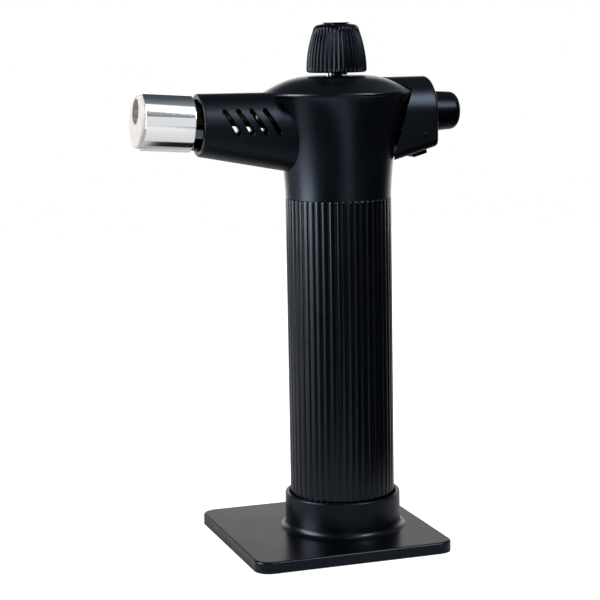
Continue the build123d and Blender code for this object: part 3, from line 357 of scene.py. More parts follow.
@dataclass(frozen=True)
class Metal(Finish):
    """Metal with drawn or turned lines and a soft tarnish."""

    stretch: Point = (1.0, 1.0, 1.0)
    line: float = 0.15 * MM
    line_depth: float = 0.0015 * MM
    line_swing: float = 0.5
    tarnish: float = 0.25
    patch: float = 7 * MM
    patch_band: Pair = (0.55, 0.8)
    patch_tone: float = 0.62
    patch_haze: float = 0.3

    def dress(self, graph: Graph) -> None:
        """Builds the lines and the tarnish.

        Args:
            graph: The material's graph.
        """
        lines = graph.noise(graph.scaled(self.stretch), self.line)
        patches = graph.noise(graph.place(), self.patch, detail=4.0)
        stained = patches.band(*self.patch_band) * self.tarnish
        colour = graph.mix(stained, self.colour, self.tinted(self.patch_tone))
        sheen = self.roughness + lines.swing(self.line_swing * self.roughness) + stained * self.patch_haze
        graph.surface({"Base Color": colour, "Metallic": 1.0, "Roughness": sheen,
                       "Normal": graph.bump(lines, self.line_depth)})


@dataclass(frozen=True)
class FiredCeramic(Finish):
    """White unglazed ceramic with a fine pitted skin, browned and sooted by heat in the port."""

    port: Point = (0.0, 0.0, 0.0)
    port_radius: float = 5 * MM
    port_edge: Pair = (0.88, 1.12)
    cloud: float = 5 * MM
    cloud_band: Pair = (0.35, 0.7)
    cloud_tone: float = 0.95
    pit: float = 0.4 * MM
    pit_band: Pair = (0.60, 0.72)
    pit_share: float = 0.25
    pit_tone: float = 0.7
    pit_swing: float = 0.15
    pit_depth: float = 0.02 * MM
    scorch: Colour = (0.46, 0.42, 0.38)
    scorch_share: float = 0.75
    scorch_swing: float = 0.8
    soot: Colour = (0.10, 0.09, 0.08)
    speck: float = 1.3 * MM
    speck_band: Pair = (0.50, 0.60)
    speck_share: float = 0.8

    def dress(self, graph: Graph) -> None:
        """Builds the pitted skin, and the scorch and the soot in the port.

        Args:
            graph: The material's graph.
        """
        place = graph.place()
        pits = graph.noise(place, self.pit, detail=5.0)
        cloud = graph.noise(place, self.cloud)
        centre = graph.vector_maths("SUBTRACT", {0: place, 1: self.port}).outputs[0]
        across = graph.vector_maths("MULTIPLY", {0: centre, 1: (0.0, 1.0, 1.0)}).outputs[0]
        inside = 1.0 - (graph.length(across) / self.port_radius).band(*self.port_edge)
        heat = inside * (self.scorch_share + cloud.swing(self.scorch_swing))
        specks = graph.noise(place, self.speck, detail=4.0).band(*self.speck_band) * inside
        base = graph.mix(cloud.band(*self.cloud_band), self.colour, self.tinted(self.cloud_tone))
        pitted = graph.mix(pits.band(*self.pit_band) * self.pit_share, base, self.tinted(self.pit_tone))
        scorched = graph.mix(heat, pitted, self.scorch)
        sooted = graph.mix(specks * self.speck_share, scorched, self.soot)
        graph.surface({"Base Color": sooted, "Roughness": self.roughness + pits.swing(self.pit_swing),
                       "Normal": graph.bump(pits, self.pit_depth)})


@dataclass(frozen=True)
class Rubber(Finish):
    """Soft rubber or silicone with a dusty bloom."""

    bloom: float = 2.5 * MM
    bloom_band: Pair = (0.5, 0.8)
    bloom_share: float = 0.35
    bloom_tone: float = 2.0
    skin: float = 0.2 * MM
    skin_swing: float = 0.2
    skin_depth: float = 0.01 * MM

    def dress(self, graph: Graph) -> None:
        """Builds the bloom and the matt skin.

        Args:
            graph: The material's graph.
        """
        place = graph.place()
        bloom = graph.noise(place, self.bloom, detail=4.0).band(*self.bloom_band)
        skin = graph.noise(place, self.skin)
        dusty = graph.mix(bloom * self.bloom_share, self.colour, self.tinted(self.bloom_tone))
        graph.surface({"Base Color": dusty, "Roughness": self.roughness + skin.swing(self.skin_swing),
                       "Normal": graph.bump(skin, self.skin_depth)})


FINISHES: dict[Slot, Finish] = {
    Slot.STAND: MouldedPlastic("satin_stand", (0.0005, 0.0005, 0.0006), 0.30),
    # the grip's painted reflection tint is nearer neutral
    Slot.GRIP: MouldedPlastic("satin_grip", SATIN_BLACK, 0.22, grain_depth=0.002 * MM,
                              specular=0.31, painted_reflection_tint=(0.64, 0.79, 1.0)),
    Slot.HEAD: MouldedPlastic("satin_head", SATIN_BLACK, 0.29, specular=0.45),
    Slot.SHROUD: MouldedPlastic("satin_shroud", SATIN_BLACK, 0.33, grain=0.45 * MM, grain_depth=0.05 * MM),
    Slot.CONTROL: MouldedPlastic("satin_controls", SATIN_BLACK, 0.31, grain_depth=0.010 * MM, specular=0.15),
    Slot.TANK: MouldedPlastic("tank_nylon", (0.070, 0.071, 0.076), 0.45),
    Slot.SLEEVE: Metal("polished_sleeve", (0.86, 0.86, 0.87), 0.10, stretch=(0.05, 1.0, 1.0), tarnish=0.06),
    Slot.CERAMIC: FiredCeramic("fired_ceramic", (0.66, 0.655, 0.645), 0.62),
    Slot.BRASS: Metal("turned_brass", (0.72, 0.54, 0.27), 0.26, stretch=(1.0, 0.2, 1.0)),
    Slot.STEEL: Metal("plated_steel", (0.60, 0.60, 0.61), 0.28, stretch=(0.3, 1.0, 1.0)),
    Slot.PIEZO: MouldedPlastic("igniter_nylon", (0.035, 0.035, 0.038), 0.25, specular=0.5),
    Slot.SEAL: Rubber("nitrile", (0.02, 0.02, 0.02), 0.6),
    Slot.WIRE: Rubber("silicone_cover", (0.40, 0.035, 0.03), 0.45),
}
GAUZE = Metal("heat_stained_gauze", (0.62, 0.59, 0.56), 0.42, tarnish=1.0, patch=2.4 * MM)
# heat tarnish, darkened further as painted shade for the tube and flame holder seen in the dark slots and gap
HEATED_AND_SHADED = Metal("heat_tarnish_and_painted_shade_tube", (0.15, 0.12, 0.09), 0.42, tarnish=0.5)
BLUED = Metal("blued_clip", (0.10, 0.13, 0.18), 0.32, tarnish=0.3)
NODE_FINISHES: dict[str, Finish] = {"burner_tube": HEATED_AND_SHADED, "flame_holder": HEATED_AND_SHADED, "sleeve_clip": BLUED}


# ---- mesh tools ----
def only(made: Iterable[Any], kind: type) -> list[Any]:
    """The items of one kind among those that an operator made."""
    return [item for item in made if isinstance(item, kind)]


def extrude_rim(mesh: BMesh, rim: Sequence[BMEdge]) -> tuple[list[BMVert], list[BMEdge]]:
    """Extrudes a rim's edges in place and returns the new vertices and edges."""
    made = bmesh.ops.extrude_edge_only(mesh, edges=rim)["geom"]
    return only(made, BMVert), only(made, BMEdge)


class Piece:
    """A new piece that is shaped with bmesh operators.

    Args:
        name: The piece's name.
        slot: The record's slot; it is not used.
        body: The body that it rides on.
    """

    def __init__(self, name: str, slot: Slot, body: Body) -> None:
        """Starts with an empty mesh."""
        self.name = name
        self.slot = slot
        self.body = body
        self.mesh = bmesh.new()

    def lathe(self, profile: Sequence[Pair], steps: int) -> None:
        """Spins a closed profile round the X axis.

        Args:
            profile: (along X, radius) corners, in metres.
            steps: Number of steps in the full turn.
        """
        corners = [self.mesh.verts.new((x, 0.0, r)) for x, r in profile]
        edges = [self.mesh.edges.new((a, b)) for a, b in zip(corners, corners[1:] + corners[:1])]
        bmesh.ops.spin(self.mesh, geom=corners + edges, cent=(0, 0, 0), axis=(1, 0, 0),
                       angle=2 * math.pi, steps=steps, use_merge=True)
        bmesh.ops.remove_doubles(self.mesh, verts=self.mesh.verts, dist=MERGE_DISTANCE)
        bmesh.ops.recalc_face_normals(self.mesh, faces=self.mesh.faces)

    def move(self, matrix: Matrix) -> None:
        """Moves everything that has been shaped so far."""
        bmesh.ops.transform(self.mesh, matrix=matrix, verts=self.mesh.verts)

    def soften(self, edges: Sequence[BMEdge], width: float) -> None:
        """Rounds some edges."""
        bmesh.ops.bevel(self.mesh, geom=list(edges), offset=width, offset_type="OFFSET", affect="EDGES",
                        segments=2, profile=0.5, material=-1, clamp_overlap=True)

    def finish(self, finish: Finish, replaced: Sequence[str] = (), sharp: float = 40.0) -> bpy.types.Object:
        """Turns the shape into a dressed piece.

        Args:
            finish: Its finish.
            replaced: The CAD nodes that it stands for.
            sharp: Edges sharper than this many degrees stay crisp.

        Returns:
            The piece's object.
        """
        data = bpy.data.meshes.new(self.name)
        for face in self.mesh.faces:
            face.smooth = True
        self.mesh.to_mesh(data)
        self.mesh.free()
        data.set_sharp_from_angle(angle=math.radians(sharp))
        data.materials.append(finish.material())
        piece = bpy.data.objects.new(self.name, data)
        bpy.context.scene.collection.objects.link(piece)
        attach(piece, self.body.value)
        if replaced:
            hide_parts(*replaced)
        LOG.info("%s: %d faces on %s", self.name, len(data.polygons), self.body.value)
        return piece


class SubAssembly(ABC):
    """A group of pieces that are made and dressed together."""

    @abstractmethod
    def build(self) -> list[bpy.types.Object]:
        """Makes the group's pieces and returns them."""


# ---- grip ----
@dataclass
class Grip(SubAssembly):
    """The ribbed sleeve round the tank. Lengths in metres, angles in degrees."""

    rib_count: int = 44
    steps_per_rib: int = 14
    groove_depth: float = 0.28 * MM
    groove_share: float = 0.40
    crown: float = 0.07 * MM
    first_groove: float = 2.7
    wall: float = 1.9 * MM
    end_round: float = 0.25 * MM
    end_band: float = 0.35 * MM
    sharp: float = 50.0

    def rib_height(self, turn: float) -> float:
        """Height of the outside over the sleeve's nominal radius.

        Args:
            turn: Place round the sleeve, counted in ribs from the middle of a groove.

        Returns:
            The height in metres, 0 at the top of a rib and negative elsewhere.
        """
        from_groove = abs((turn + 0.5) % 1.0 - 0.5)
        half = self.groove_share / 2
        if from_groove < half:
            return -self.groove_depth * 0.5 * (1 + math.cos(math.pi * from_groove / half)) - self.crown
        across = (from_groove - half) / (0.5 - half)
        return -self.crown * (1 - across) ** 2

    def outside(self, mesh: BMesh, low: Vector, high: Vector) -> tuple[list[BMEdge], list[BMEdge]]:
        """Makes the ribbed outside with its rounded ends.

        A narrow band beside each end keeps the ribs' shading level.

        Args:
            mesh: The sleeve's mesh.
            low: The sleeve's lowest corner.
            high: Its highest corner.

        Returns:
            The edges of the lower rim and those of the upper rim.
        """
        radius = high.x
        steps = self.rib_count * self.steps_per_rib
        ring = bmesh.ops.create_circle(mesh, segments=steps, radius=radius)["verts"]
        for vertex in ring:
            angle = math.degrees(math.atan2(vertex.co.y, vertex.co.x)) - self.first_groove
            vertex.co *= 1 + self.rib_height(angle / 360 * self.rib_count) / radius
        shrink = 1 - self.end_round / radius
        bmesh.ops.translate(mesh, verts=ring, vec=(0, 0, low.z))
        bmesh.ops.scale(mesh, verts=ring, vec=(shrink, shrink, 1))
        lower = upper = list(mesh.edges)
        middle = high.z - low.z - 2 * (self.end_round + self.end_band)
        rises = (self.end_round, self.end_band, middle, self.end_band, self.end_round)
        for rise, factor in zip(rises, (1 / shrink, 1.0, 1.0, 1.0, shrink)):
            moved, upper = extrude_rim(mesh, upper)
            bmesh.ops.translate(mesh, verts=moved, vec=(0, 0, rise))
            bmesh.ops.scale(mesh, verts=moved, vec=(factor, factor, 1))
        return lower, upper

    def end_face(self, mesh: BMesh, rim: Sequence[BMEdge], bore: float) -> list[BMEdge]:
        """Closes one end, from the ribs in to the round bore.

        Args:
            mesh: The sleeve's mesh.
            rim: The edges of the outer rim.
            bore: The bore's radius.

        Returns:
            The edges of the bore's rim.
        """
        moved, inner = extrude_rim(mesh, rim)
        for vertex in moved:
            flat = Vector((vertex.co.x, vertex.co.y, 0)).normalized() * bore
            vertex.co = Vector((flat.x, flat.y, vertex.co.z))
        return inner

    def build(self) -> list[bpy.types.Object]:
        """Makes the ribbed sleeve.

        Returns:
            The sleeve.
        """
        low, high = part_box("grip_sleeve")
        sleeve = Piece("ribbed_grip", Slot.GRIP, Body.TORCH)
        bore = high.x - self.wall
        rims = [self.end_face(sleeve.mesh, rim, bore) for rim in self.outside(sleeve.mesh, low, high)]
        bmesh.ops.bridge_loops(sleeve.mesh, edges=rims[0] + rims[1])
        bmesh.ops.recalc_face_normals(sleeve.mesh, faces=sleeve.mesh.faces)
        return [sleeve.finish(FINISHES[Slot.GRIP], ["grip_sleeve"], self.sharp)]


# ---- flame knob ----
@dataclass
class FlameKnob(SubAssembly):
    """The fluted knob on the head. Lengths in metres, angles in degrees."""

    hub_radius: float = 2.1 * MM
    hub_foot: float = 0.8 * MM
    bore_share: float = 0.8
    gap: float = 0.3 * MM
    foot: tuple[Pair, ...] = ((0.0, 0.9 * MM), (0.12 * MM, 0.45 * MM), (0.45 * MM, 0.12 * MM))
    band: float = 1.0 * MM
    side_steps: int = 12
    side_curve: float = 1.9
    shoulder_share: float = 0.76
    shoulder_drop: float = 2.0 * MM
    shoulder: tuple[Pair, ...] = ((1.1 * MM, 0.22 * MM), (0.4 * MM, 0.85 * MM), (0.08 * MM, 1.6 * MM))
    crown: tuple[Pair, ...] = ((0.10 * MM, 6.2 * MM), (0.28 * MM, 5.2 * MM), (0.22 * MM, 4.3 * MM),
                               (0.0, 3.0 * MM))
    cap_hole: float = 2.65 * MM
    cap_hole_depth: float = 6.0 * MM
    flute_count: int = 40
    steps_per_flute: int = 8
    flute_depth: float = 0.6 * MM
    flute_curve: float = 0.9
    flute_start: float = 0.9
    flute_end: float = 1.5 * MM
    flute_fade: float = 1.0 * MM
    flute_reach: float = 0.6
    lug_angle: float = -43.0
    lug_width: float = 1.6 * MM
    lug_reach: float = 4.1 * MM
    lug_overlap: float = 0.5 * MM
    sharp: float = 55.0

    def outline(self, radius: float, height: float) -> list[Pair]:
        """The knob's half outline from the hub's edge, up the side, to the hole in the crown.

        Args:
            radius: Radius at the base.
            height: Height of the crown above the base.

        Returns:
            (height, radius) points.
        """
        shoulder = radius * self.shoulder_share
        rise = height - self.shoulder_drop - self.band
        points = [(0.0, self.hub_radius)]
        points += [(above, radius - inset) for above, inset in self.foot]
        points.append((self.band, radius))
        for step in range(1, self.side_steps + 1):
            share = step / self.side_steps
            points.append((self.band + rise * share, radius - (radius - shoulder) * share ** self.side_curve))
        points += [(height - below, shoulder - inset) for below, inset in self.shoulder]
        points += [(height + above, reach) for above, reach in self.crown]
        points.append((height, self.cap_hole))
        return points

    def cut_flutes(self, mesh: BMesh, base: float, crown: float, radius: float) -> None:
        """Presses the flutes into the knob's side, fading out towards the crown.

        Args:
            mesh: The knob's mesh.
            base: Height of the knob's base.
            crown: Height of its crown.
            radius: Radius at the base.
        """
        start = base + self.band * self.flute_start
        end = crown - self.flute_end
        for vertex in mesh.verts:
            reach = math.hypot(vertex.co.x, vertex.co.y)
            if start < vertex.co.z < end and reach > radius * self.flute_reach:
                turn = math.atan2(vertex.co.y, vertex.co.x) * self.flute_count
                depth = self.flute_depth * (0.5 + 0.5 * math.cos(turn)) ** self.flute_curve
                factor = 1 - depth * min(1.0, (end - vertex.co.z) / self.flute_fade) / reach
                vertex.co.x *= factor
                vertex.co.y *= factor

    def add_lug(self, mesh: BMesh, low: float, high: float) -> None:
        """Adds the lug that meets the stop pin.

        Args:
            mesh: The knob's mesh.
            low: Height of the lug's underside.
            high: Height of its top, inside the knob.
        """
        lug = bmesh.ops.create_cube(mesh, size=1.0)["verts"]
        bmesh.ops.translate(mesh, verts=lug, vec=(0.5, 0, 0.5))
        bmesh.ops.scale(mesh, verts=lug, vec=(self.lug_reach, self.lug_width, high - low))
        bmesh.ops.translate(mesh, verts=lug, vec=(0, 0, low))
        turn = Matrix.Rotation(math.radians(self.lug_angle), 3, "Z")
        bmesh.ops.rotate(mesh, verts=lug, cent=(0, 0, 0), matrix=turn)

    def build(self) -> list[bpy.types.Object]:
        """Makes the knob's body with its flutes and its lug.

        Returns:
            The knob.
        """
        low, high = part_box("flame_knob")
        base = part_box("knob_stop_pin")[1].z + self.gap
        bore = self.hub_radius * self.bore_share
        hole_end = high.z - self.cap_hole_depth
        profile = [(above + base, reach) for above, reach in self.outline(high.x, high.z - base)]
        profile += [(hole_end, self.cap_hole), (hole_end, bore), (low.z, bore), (low.z, self.hub_radius)]
        knob = Piece("fluted_knob", Slot.CONTROL, Body.KNOB)
        knob.lathe(profile, self.flute_count * self.steps_per_flute)
        knob.move(Matrix.Rotation(-math.pi / 2, 4, "Y"))
        self.cut_flutes(knob.mesh, base, high.z, high.x)
        self.add_lug(knob.mesh, low.z + self.hub_foot + self.gap, base + self.lug_overlap)
        return [knob.finish(FINISHES[Slot.CONTROL], ["flame_knob"], self.sharp)]


# ---- burner ----
@dataclass
class Burner(SubAssembly):
    """The polished sleeve and the gauze in the port. Lengths in metres, angles in degrees."""

    tilt: float = 4.2
    wall: float = 0.6 * MM
    edge_round: float = 0.14 * MM
    edge_steps: int = 4
    support: float = 0.10 * MM
    sleeve_steps: int = 128
    sleeve_sharp: float = 50.0
    wire: float = 0.15 * MM
    wire_sides: int = 5
    gauze_pitch: float = 0.80 * MM
    gauze_gap: float = 2.2
    gauze_swing: float = 1.05
    gauze_sharp: float = 60.0

    def frame_of_burner(self) -> Matrix:
        """The burner's tilted frame: its X axis runs from the tip to the head."""
        return Matrix.Rotation(math.radians(self.tilt), 4, "Y")

    def straight_box(self, node: str) -> tuple[Vector, Vector]:
        """A node's box in the burner's own frame.

        Args:
            node: The node's name.

        Returns:
            Its lowest and highest corners.
        """
        back = self.frame_of_burner().inverted()
        places = [back @ vertex.co for vertex in frame["nodes"][node].data.vertices]
        low = Vector([min(place[axis] for place in places) for axis in range(3)])
        high = Vector([max(place[axis] for place in places) for axis in range(3)])
        return low, high

    def round_edged_tube(self, front: float, back: float, outer: float, inner: float) -> list[Pair]:
        """The outline of a thin tube with small rounds on its four edges.

        A support corner beside each round keeps the long walls' shading level.

        Args:
            front: Where the tube starts along X.
            back: Where it ends.
            outer: Its outer radius.
            inner: Its inner radius.

        Returns:
            (along X, radius) corners.
        """
        size = self.edge_round
        corners = ((front + size, outer - size, 90, True), (front + size, inner + size, 180, False),
                   (back - size, inner + size, 270, True), (back - size, outer - size, 0, False))
        points = []
        for x, radius, start, wall_first in corners:
            arc = [math.radians(start + 90 * step / self.edge_steps) for step in range(self.edge_steps + 1)]
            ring = [(x + size * math.cos(angle), radius + size * math.sin(angle)) for angle in arc]
            along, reach = ring[0] if wall_first else ring[-1]
            support = (along + math.copysign(self.support, (front + back) / 2 - x), reach)
            points += [support, *ring] if wall_first else [*ring, support]
        return points

    def polished_sleeve(self) -> bpy.types.Object:
        """The thin sleeve with its two rolled rims.

        Returns:
            The sleeve.
        """
        low, high = self.straight_box("nozzle_sleeve")
        outer = (high.z - low.z) / 2
        sleeve = Piece("polished_nozzle_sleeve", Slot.SLEEVE, Body.TORCH)
        sleeve.lathe(self.round_edged_tube(low.x, high.x, outer, outer - self.wall), self.sleeve_steps)
        axis = Matrix.Translation((0, 0, (high.z + low.z) / 2))
        sleeve.move(self.frame_of_burner() @ axis)
        return sleeve.finish(FINISHES[Slot.SLEEVE], ["nozzle_sleeve"], self.sleeve_sharp)

    def port_gauze(self) -> bpy.types.Object:
        """Woven wire gauze in front of the flame holder.

        Returns:
            The gauze.
        """
        low, high = self.straight_box("flame_holder")
        radius = (high.z - low.z) / 2 - self.wire
        gauze = Piece("port_gauze", Slot.STEEL, Body.TORCH)
        count = int(radius / self.gauze_pitch)
        for way in (0, 1):
            for index in range(-count, count + 1):
                self.add_wire(gauze.mesh, index, way, radius)
        axis = Matrix.Translation((low.x - self.gauze_gap * self.wire, 0, (high.z + low.z) / 2))
        gauze.move(self.frame_of_burner() @ axis)
        return gauze.finish(GAUZE, sharp=self.gauze_sharp)

    def add_wire(self, mesh: BMesh, index: int, way: int, radius: float) -> None:
        """Adds one woven wire.

        Args:
            mesh: The gauze's mesh.
            index: The wire's number from the middle.
            way: 0 for an upright wire, 1 for a level one.
            radius: Radius of the gauze.
        """
        offset = index * self.gauze_pitch
        half = math.sqrt(max(radius ** 2 - offset ** 2, self.wire ** 2))
        knots = max(2, int(2 * half / self.gauze_pitch) * 2)
        strand = list(bmesh.ops.create_circle(mesh, segments=self.wire_sides, radius=self.wire)["verts"])
        bmesh.ops.translate(mesh, verts=strand, vec=(0, 0, -half))
        rim = list(dict.fromkeys(edge for vertex in strand for edge in vertex.link_edges))
        for _ in range(knots):
            moved, rim = extrude_rim(mesh, rim)
            bmesh.ops.translate(mesh, verts=moved, vec=(0, 0, 2 * half / knots))
            strand += moved
        for vertex in strand:
            phase = math.pi * (vertex.co.z / self.gauze_pitch + index + way)
            vertex.co.x += self.wire * self.gauze_swing * math.cos(phase)
            vertex.co.y += offset
        faces = dict.fromkeys(face for vertex in strand for face in vertex.link_faces)
        bmesh.ops.recalc_face_normals(mesh, faces=list(faces))
        if way:
            bmesh.ops.rotate(mesh, verts=strand, cent=(0, 0, 0), matrix=Matrix.Rotation(math.pi / 2, 3, "X"))

    def build(self) -> list[bpy.types.Object]:
        """Makes the sleeve and the gauze."""
        return [self.polished_sleeve(), self.port_gauze()]


# ---- rear housing ----
@dataclass
class HousingMark(SubAssembly):
    """A small raised arrow that points to the lock slider. Lengths in metres."""

    size: float = 2.6 * MM
    height: float = 0.30 * MM
    rise: float = 1.8 * MM
    edge_round: float = 0.12 * MM

    def build(self) -> list[bpy.types.Object]:
        """Makes the raised arrow, half sunk in the housing's side.

        Returns:
            The arrow.
        """
        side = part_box("rear_housing")[0].y
        lock_low, lock_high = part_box("lock_slider")
        mark = Piece("lock_arrow", Slot.SHROUD, Body.TORCH)
        corners = bmesh.ops.create_circle(mark.mesh, cap_ends=True, segments=3, radius=self.size / 2)["verts"]
        upright = Matrix.Rotation(math.pi / 2, 3, "X")
        bmesh.ops.rotate(mark.mesh, verts=corners, cent=(0, 0, 0), matrix=upright)
        grown = bmesh.ops.extrude_face_region(mark.mesh, geom=list(mark.mesh.faces))["geom"]
        bmesh.ops.translate(mark.mesh, verts=only(grown, BMVert), vec=(0, -2 * self.height, 0))
        mark.soften([edge for edge in mark.mesh.edges if edge.calc_length() > self.size / 2], self.edge_round)
        bmesh.ops.recalc_face_normals(mark.mesh, faces=mark.mesh.faces)
        place = Vector(((lock_low.x + lock_high.x) / 2, side + self.height, lock_high.z + self.rise))
        mark.move(Matrix.Translation(place) @ Matrix.Rotation(math.pi, 4, "Y"))
        return [mark.finish(FINISHES[Slot.SHROUD])]


# ---- CAD nodes ----
class PackedNodes(SubAssembly):
    """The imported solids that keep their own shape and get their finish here."""

    def ceramic(self) -> Finish:
        """The ceramic finish, with its port where the flame holder sits.

        Returns:
            The finish.
        """
        low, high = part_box("flame_holder")
        middle = tuple((low + high) / 2)
        return replace(FINISHES[Slot.CERAMIC], port=middle, port_radius=(high.z - low.z) / 2)

    def build(self) -> list[bpy.types.Object]:
        """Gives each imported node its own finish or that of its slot.

        Returns:
            No new pieces.
        """
        finishes = {**FINISHES, Slot.CERAMIC: self.ceramic()}
        for part in frame["record"]["subparts"]:
            node = frame["nodes"][part["node"]]
            finish = NODE_FINISHES.get(part["node"], finishes[Slot(part["material_slot"])])
            for place in node.material_slots:
                place.material = finish.material()
            LOG.info("%s: %s", node.name, finish.name)
        return []


# ---- studio ----
@dataclass(frozen=True)
class Viewpoint:
    """The camera's place and aim. Lengths in metres, angles in degrees, lens and film in millimetres."""

    place: Point = (-0.234988, -0.648918, 0.201718)
    heading: float = -18.616
    pitch: float = 8.822
    roll: float = -1.011
    lens: float = 107.2
    film: float = 36.0
    near: float = 0.01

    def make(self) -> None:
        """Makes the camera and gives it to the scene."""
        heading, pitch, roll = (math.radians(angle) for angle in (self.heading, self.pitch, self.roll))
        ahead = Vector((-math.sin(heading) * math.cos(pitch), math.cos(heading) * math.cos(pitch),
                        -math.sin(pitch)))
        level = Vector((math.cos(heading), math.sin(heading), 0))
        upright = level.cross(ahead)
        right = level * math.cos(roll) + upright * math.sin(roll)
        up = upright * math.cos(roll) - level * math.sin(roll)
        data = bpy.data.cameras.new("camera")
        data.lens = self.lens
        data.sensor_width = self.film
        data.clip_start = self.near
        camera = bpy.data.objects.new("camera", data)
        turn = Matrix((right, up, -ahead)).transposed().to_4x4()
        camera.matrix_world = Matrix.Translation(self.place) @ turn
        bpy.context.scene.collection.objects.link(camera)
        bpy.context.scene.camera = camera


class Reach(Enum):
    """What a lamp is seen by."""

    ALL = "all"
    GLOSS = "gloss"
    MATT = "matt"


@dataclass(frozen=True)
class SoftBox:
    """A rectangular lamp that looks at the torch. Lengths in metres, power in watts."""

    name: str
    place: Point
    size: Pair
    power: float
    colour: Colour = WHITE
    aim: Point = (0.0, 0.0, 0.12)
    reach: Reach = Reach.ALL

    def make(self) -> None:
        """Makes the lamp."""
        data = bpy.data.lights.new(self.name, "AREA")
        data.shape = "RECTANGLE"
        data.size, data.size_y = self.size
        data.energy = self.power
        data.color = self.colour
        lamp = bpy.data.objects.new(self.name, data)
        lamp.visible_diffuse = self.reach is not Reach.GLOSS
        lamp.visible_glossy = self.reach is not Reach.MATT
        direction = Vector(self.aim) - Vector(self.place)
        turn = direction.to_track_quat("-Z", "Y").to_matrix().to_4x4()
        lamp.matrix_world = Matrix.Translation(self.place) @ turn
        bpy.context.scene.collection.objects.link(lamp)


@dataclass(frozen=True)
class Surroundings:
    """White when looked at. In reflections a bright back, a dim front and a little light from above.

    The bands are given as parts of the direction: away from the front, to the right, and upwards.
    """

    dim: float = 0.05
    back: float = 0.92
    back_away: Pair = (0.5, 0.9)
    back_top: Pair = (0.20, 0.40)
    low_back: float = 0.9
    low_back_top: Pair = (0.16, 0.30)
    ceiling: float = 0.04
    ceiling_foot: Pair = (0.3, 0.6)
    side: float = 0.20
    side_foot: Pair = (0.35, 0.55)
    side_right: Pair = (0.1, 0.4)
    front_colour: Colour = (0.78, 0.90, 1.0)
    back_colour: Colour = (1.0, 0.97, 0.985)

    def light(self, graph: Graph) -> NodeSocket:
        """The light that reflections and bounced light see.

        Args:
            graph: The world's graph.

        Returns:
            The colour's socket.
        """
        way = graph.add("ShaderNodeTexCoord").outputs["Generated"]
        right, away, height = graph.axes(way, STUDIO_TURN)
        behind = away.band(*self.back_away)
        back = behind * (1.0 - height.band(*self.back_top))
        low_back = behind * (1.0 - height.band(*self.low_back_top))
        level = self.dim + self.back * back + self.low_back * low_back
        level = level + self.ceiling * height.band(*self.ceiling_foot)
        level = level + self.side * height.band(*self.side_foot) * right.band(*self.side_right)
        colour = graph.mix(back, self.front_colour, self.back_colour)
        return graph.vector_maths("SCALE", {0: colour, "Scale": level}).outputs[0]

    def make(self) -> None:
        """Makes the world and gives it to the scene."""
        world = bpy.data.worlds.new("surroundings")
        bpy.context.scene.world = world
        world.use_nodes = True
        graph = Graph(world.node_tree)
        soft = graph.add("ShaderNodeBackground", {}, {"Color": self.light(graph), "Strength": 1.0})
        white = graph.add("ShaderNodeBackground", {}, {"Color": (*WHITE, 1.0), "Strength": 1.0})
        sockets = {0: graph.camera_ray(), 1: soft.outputs[0], 2: white.outputs[0]}
        both = graph.add("ShaderNodeMixShader", {}, sockets)
        graph.add("ShaderNodeOutputWorld", {}, {"Surface": both.outputs[0]})


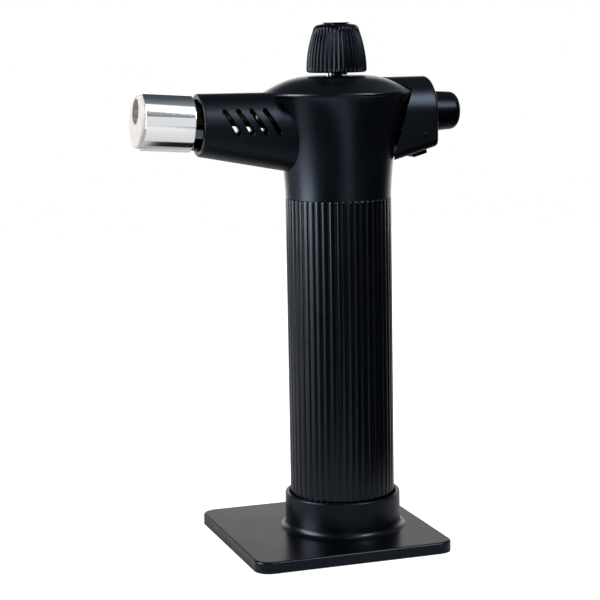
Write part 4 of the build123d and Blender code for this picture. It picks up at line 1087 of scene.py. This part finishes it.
@dataclass(frozen=True)
class Floor:
    """A pale disc that keeps the torch's soft shadow. Lengths in metres.

    In reflections and bounced light it carries painted light and shade: painted shade in front, and painted
    light near the torch, behind it, at its left and on a slanting strip. The bands of the back and of the
    left are parts of the direction, and the others are distances.
    """

    radius: float = 1.08
    sides: int = 96
    drop: float = 0.0003
    seen_colour: Colour = (0.85, 0.85, 0.85)
    # painted light (pale) and painted shade (dark), seen only in reflections and bounced light
    pale: Colour = (0.70, 0.70, 0.71)
    dark: Colour = (0.03, 0.035, 0.045)
    glow: float = 0.80
    glow_far: Pair = (0.35, 0.85)
    near: Pair = (0.06, 0.16)
    back: Pair = (0.5, 0.9)
    left: Pair = (-0.92, -0.70)
    left_near: Pair = (0.06, 0.22)
    strip_slant: float = 0.2
    strip_left: Pair = (-0.15, -0.11)
    strip_right: Pair = (-0.04, 0.0)
    strip_far: Pair = (0.6, 1.1)

    def shade(self, graph: Graph) -> NodeSocket:
        """The floor's painted light and shade, seen in reflections and bounced light.

        Args:
            graph: The floor's graph.

        Returns:
            The colour's socket.
        """
        place = graph.place()
        right, away, _ = graph.axes(place, STUDIO_TURN)
        across, along, _ = graph.axes(place)
        radius = graph.length(place)
        strip = across + self.strip_slant * along
        inside = strip.band(*self.strip_left) * (1.0 - strip.band(*self.strip_right))
        lit_strip = inside * (1.0 - radius.band(*self.strip_far))
        behind = (away / radius).band(*self.back)
        left = (1.0 - (right / radius).band(*self.left)) * radius.band(*self.left_near)
        # painted shade in front; painted light near the torch, behind it, at its left and on the slanting
        # strip
        front = (1.0 - behind) * (1.0 - left) * (1.0 - lit_strip) * radius.band(*self.near)
        return graph.mix(front, self.pale, self.dark)

    def material(self) -> bpy.types.Material:
        """Makes the floor's material, which also glows where it is looked at.

        Returns:
            The material.
        """
        material = bpy.data.materials.new("pale_floor")
        material.use_nodes = True
        graph = Graph(material.node_tree)
        far = graph.length(graph.place()).band(*self.glow_far)
        seen = graph.camera_ray()
        # the camera sees the plain floor; reflections and bounced light see the painted light and shade
        shade = graph.mix(seen, self.shade(graph), self.seen_colour)
        glow_colour = graph.mix(seen * (self.glow + (1.0 - self.glow) * far), BLACK, WHITE)
        plain = graph.add("ShaderNodeBsdfDiffuse", {}, {"Color": shade})
        glow = graph.add("ShaderNodeEmission", {}, {"Color": glow_colour, "Strength": 1.0})
        both = graph.add("ShaderNodeAddShader", {}, {0: plain.outputs[0], 1: glow.outputs[0]})
        graph.add("ShaderNodeOutputMaterial", {}, {"Surface": both.outputs[0]})
        return material

    def make(self) -> None:
        """Makes the disc just under the stand."""
        mesh = bmesh.new()
        bmesh.ops.create_circle(mesh, cap_ends=True, segments=self.sides, radius=self.radius)
        data = bpy.data.meshes.new("floor")
        mesh.to_mesh(data)
        mesh.free()
        data.materials.append(self.material())
        floor = bpy.data.objects.new("floor", data)
        floor.location.z = -self.drop
        bpy.context.scene.collection.objects.link(floor)


@dataclass
class Studio(SubAssembly):
    """Pale floor, white surroundings, soft lamps and the camera."""

    warm: Colour = (1.0, 0.97, 0.93)
    left_place: Point = (-0.95, 0.0, 0.42)
    left_size: Pair = (0.56, 0.85)
    card_height: float = 0.245

    def boxes(self) -> tuple[SoftBox, ...]:
        """Lists the lamps: a strong one at the left, and weaker ones above, at the right and in front.

        Returns:
            The lamps.
        """
        card_aim = (0.0, 0.0, self.card_height)
        return (
            SoftBox("left_glint", self.left_place, self.left_size, 25.0, self.warm, reach=Reach.GLOSS),
            SoftBox("left_fill", self.left_place, self.left_size, 14.0, self.warm, reach=Reach.MATT),
            SoftBox("high_box", (0.24, -0.50, 1.38), (0.42, 0.72), 1.3, (1.0, 0.97, 0.94)),
            SoftBox("right_box", (0.46, -0.70, 0.74), (0.28, 0.52), 9.5, self.warm),
            SoftBox("front_card", (0.0, -0.58, self.card_height), (0.34, 0.39), 0.33, aim=card_aim),
        )

    def build(self) -> list[bpy.types.Object]:
        """Makes the studio.

        Returns:
            No new pieces.
        """
        bpy.context.scene.view_settings.view_transform = "Standard"
        for item in (Surroundings(), Floor(), *self.boxes(), Viewpoint()):
            item.make()
        return []


def main() -> None:
    """Builds the classes in order and reports each piece."""
    logging.basicConfig(level=logging.INFO, format="%(name)s: %(message)s")
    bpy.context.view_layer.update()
    for part in (PackedNodes(), Grip(), FlameKnob(), Burner(), HousingMark(), Studio()):
        made = part.build()
        LOG.info("%s: %d new pieces", type(part).__name__, len(made))


if __name__ == "__main__":
    main()
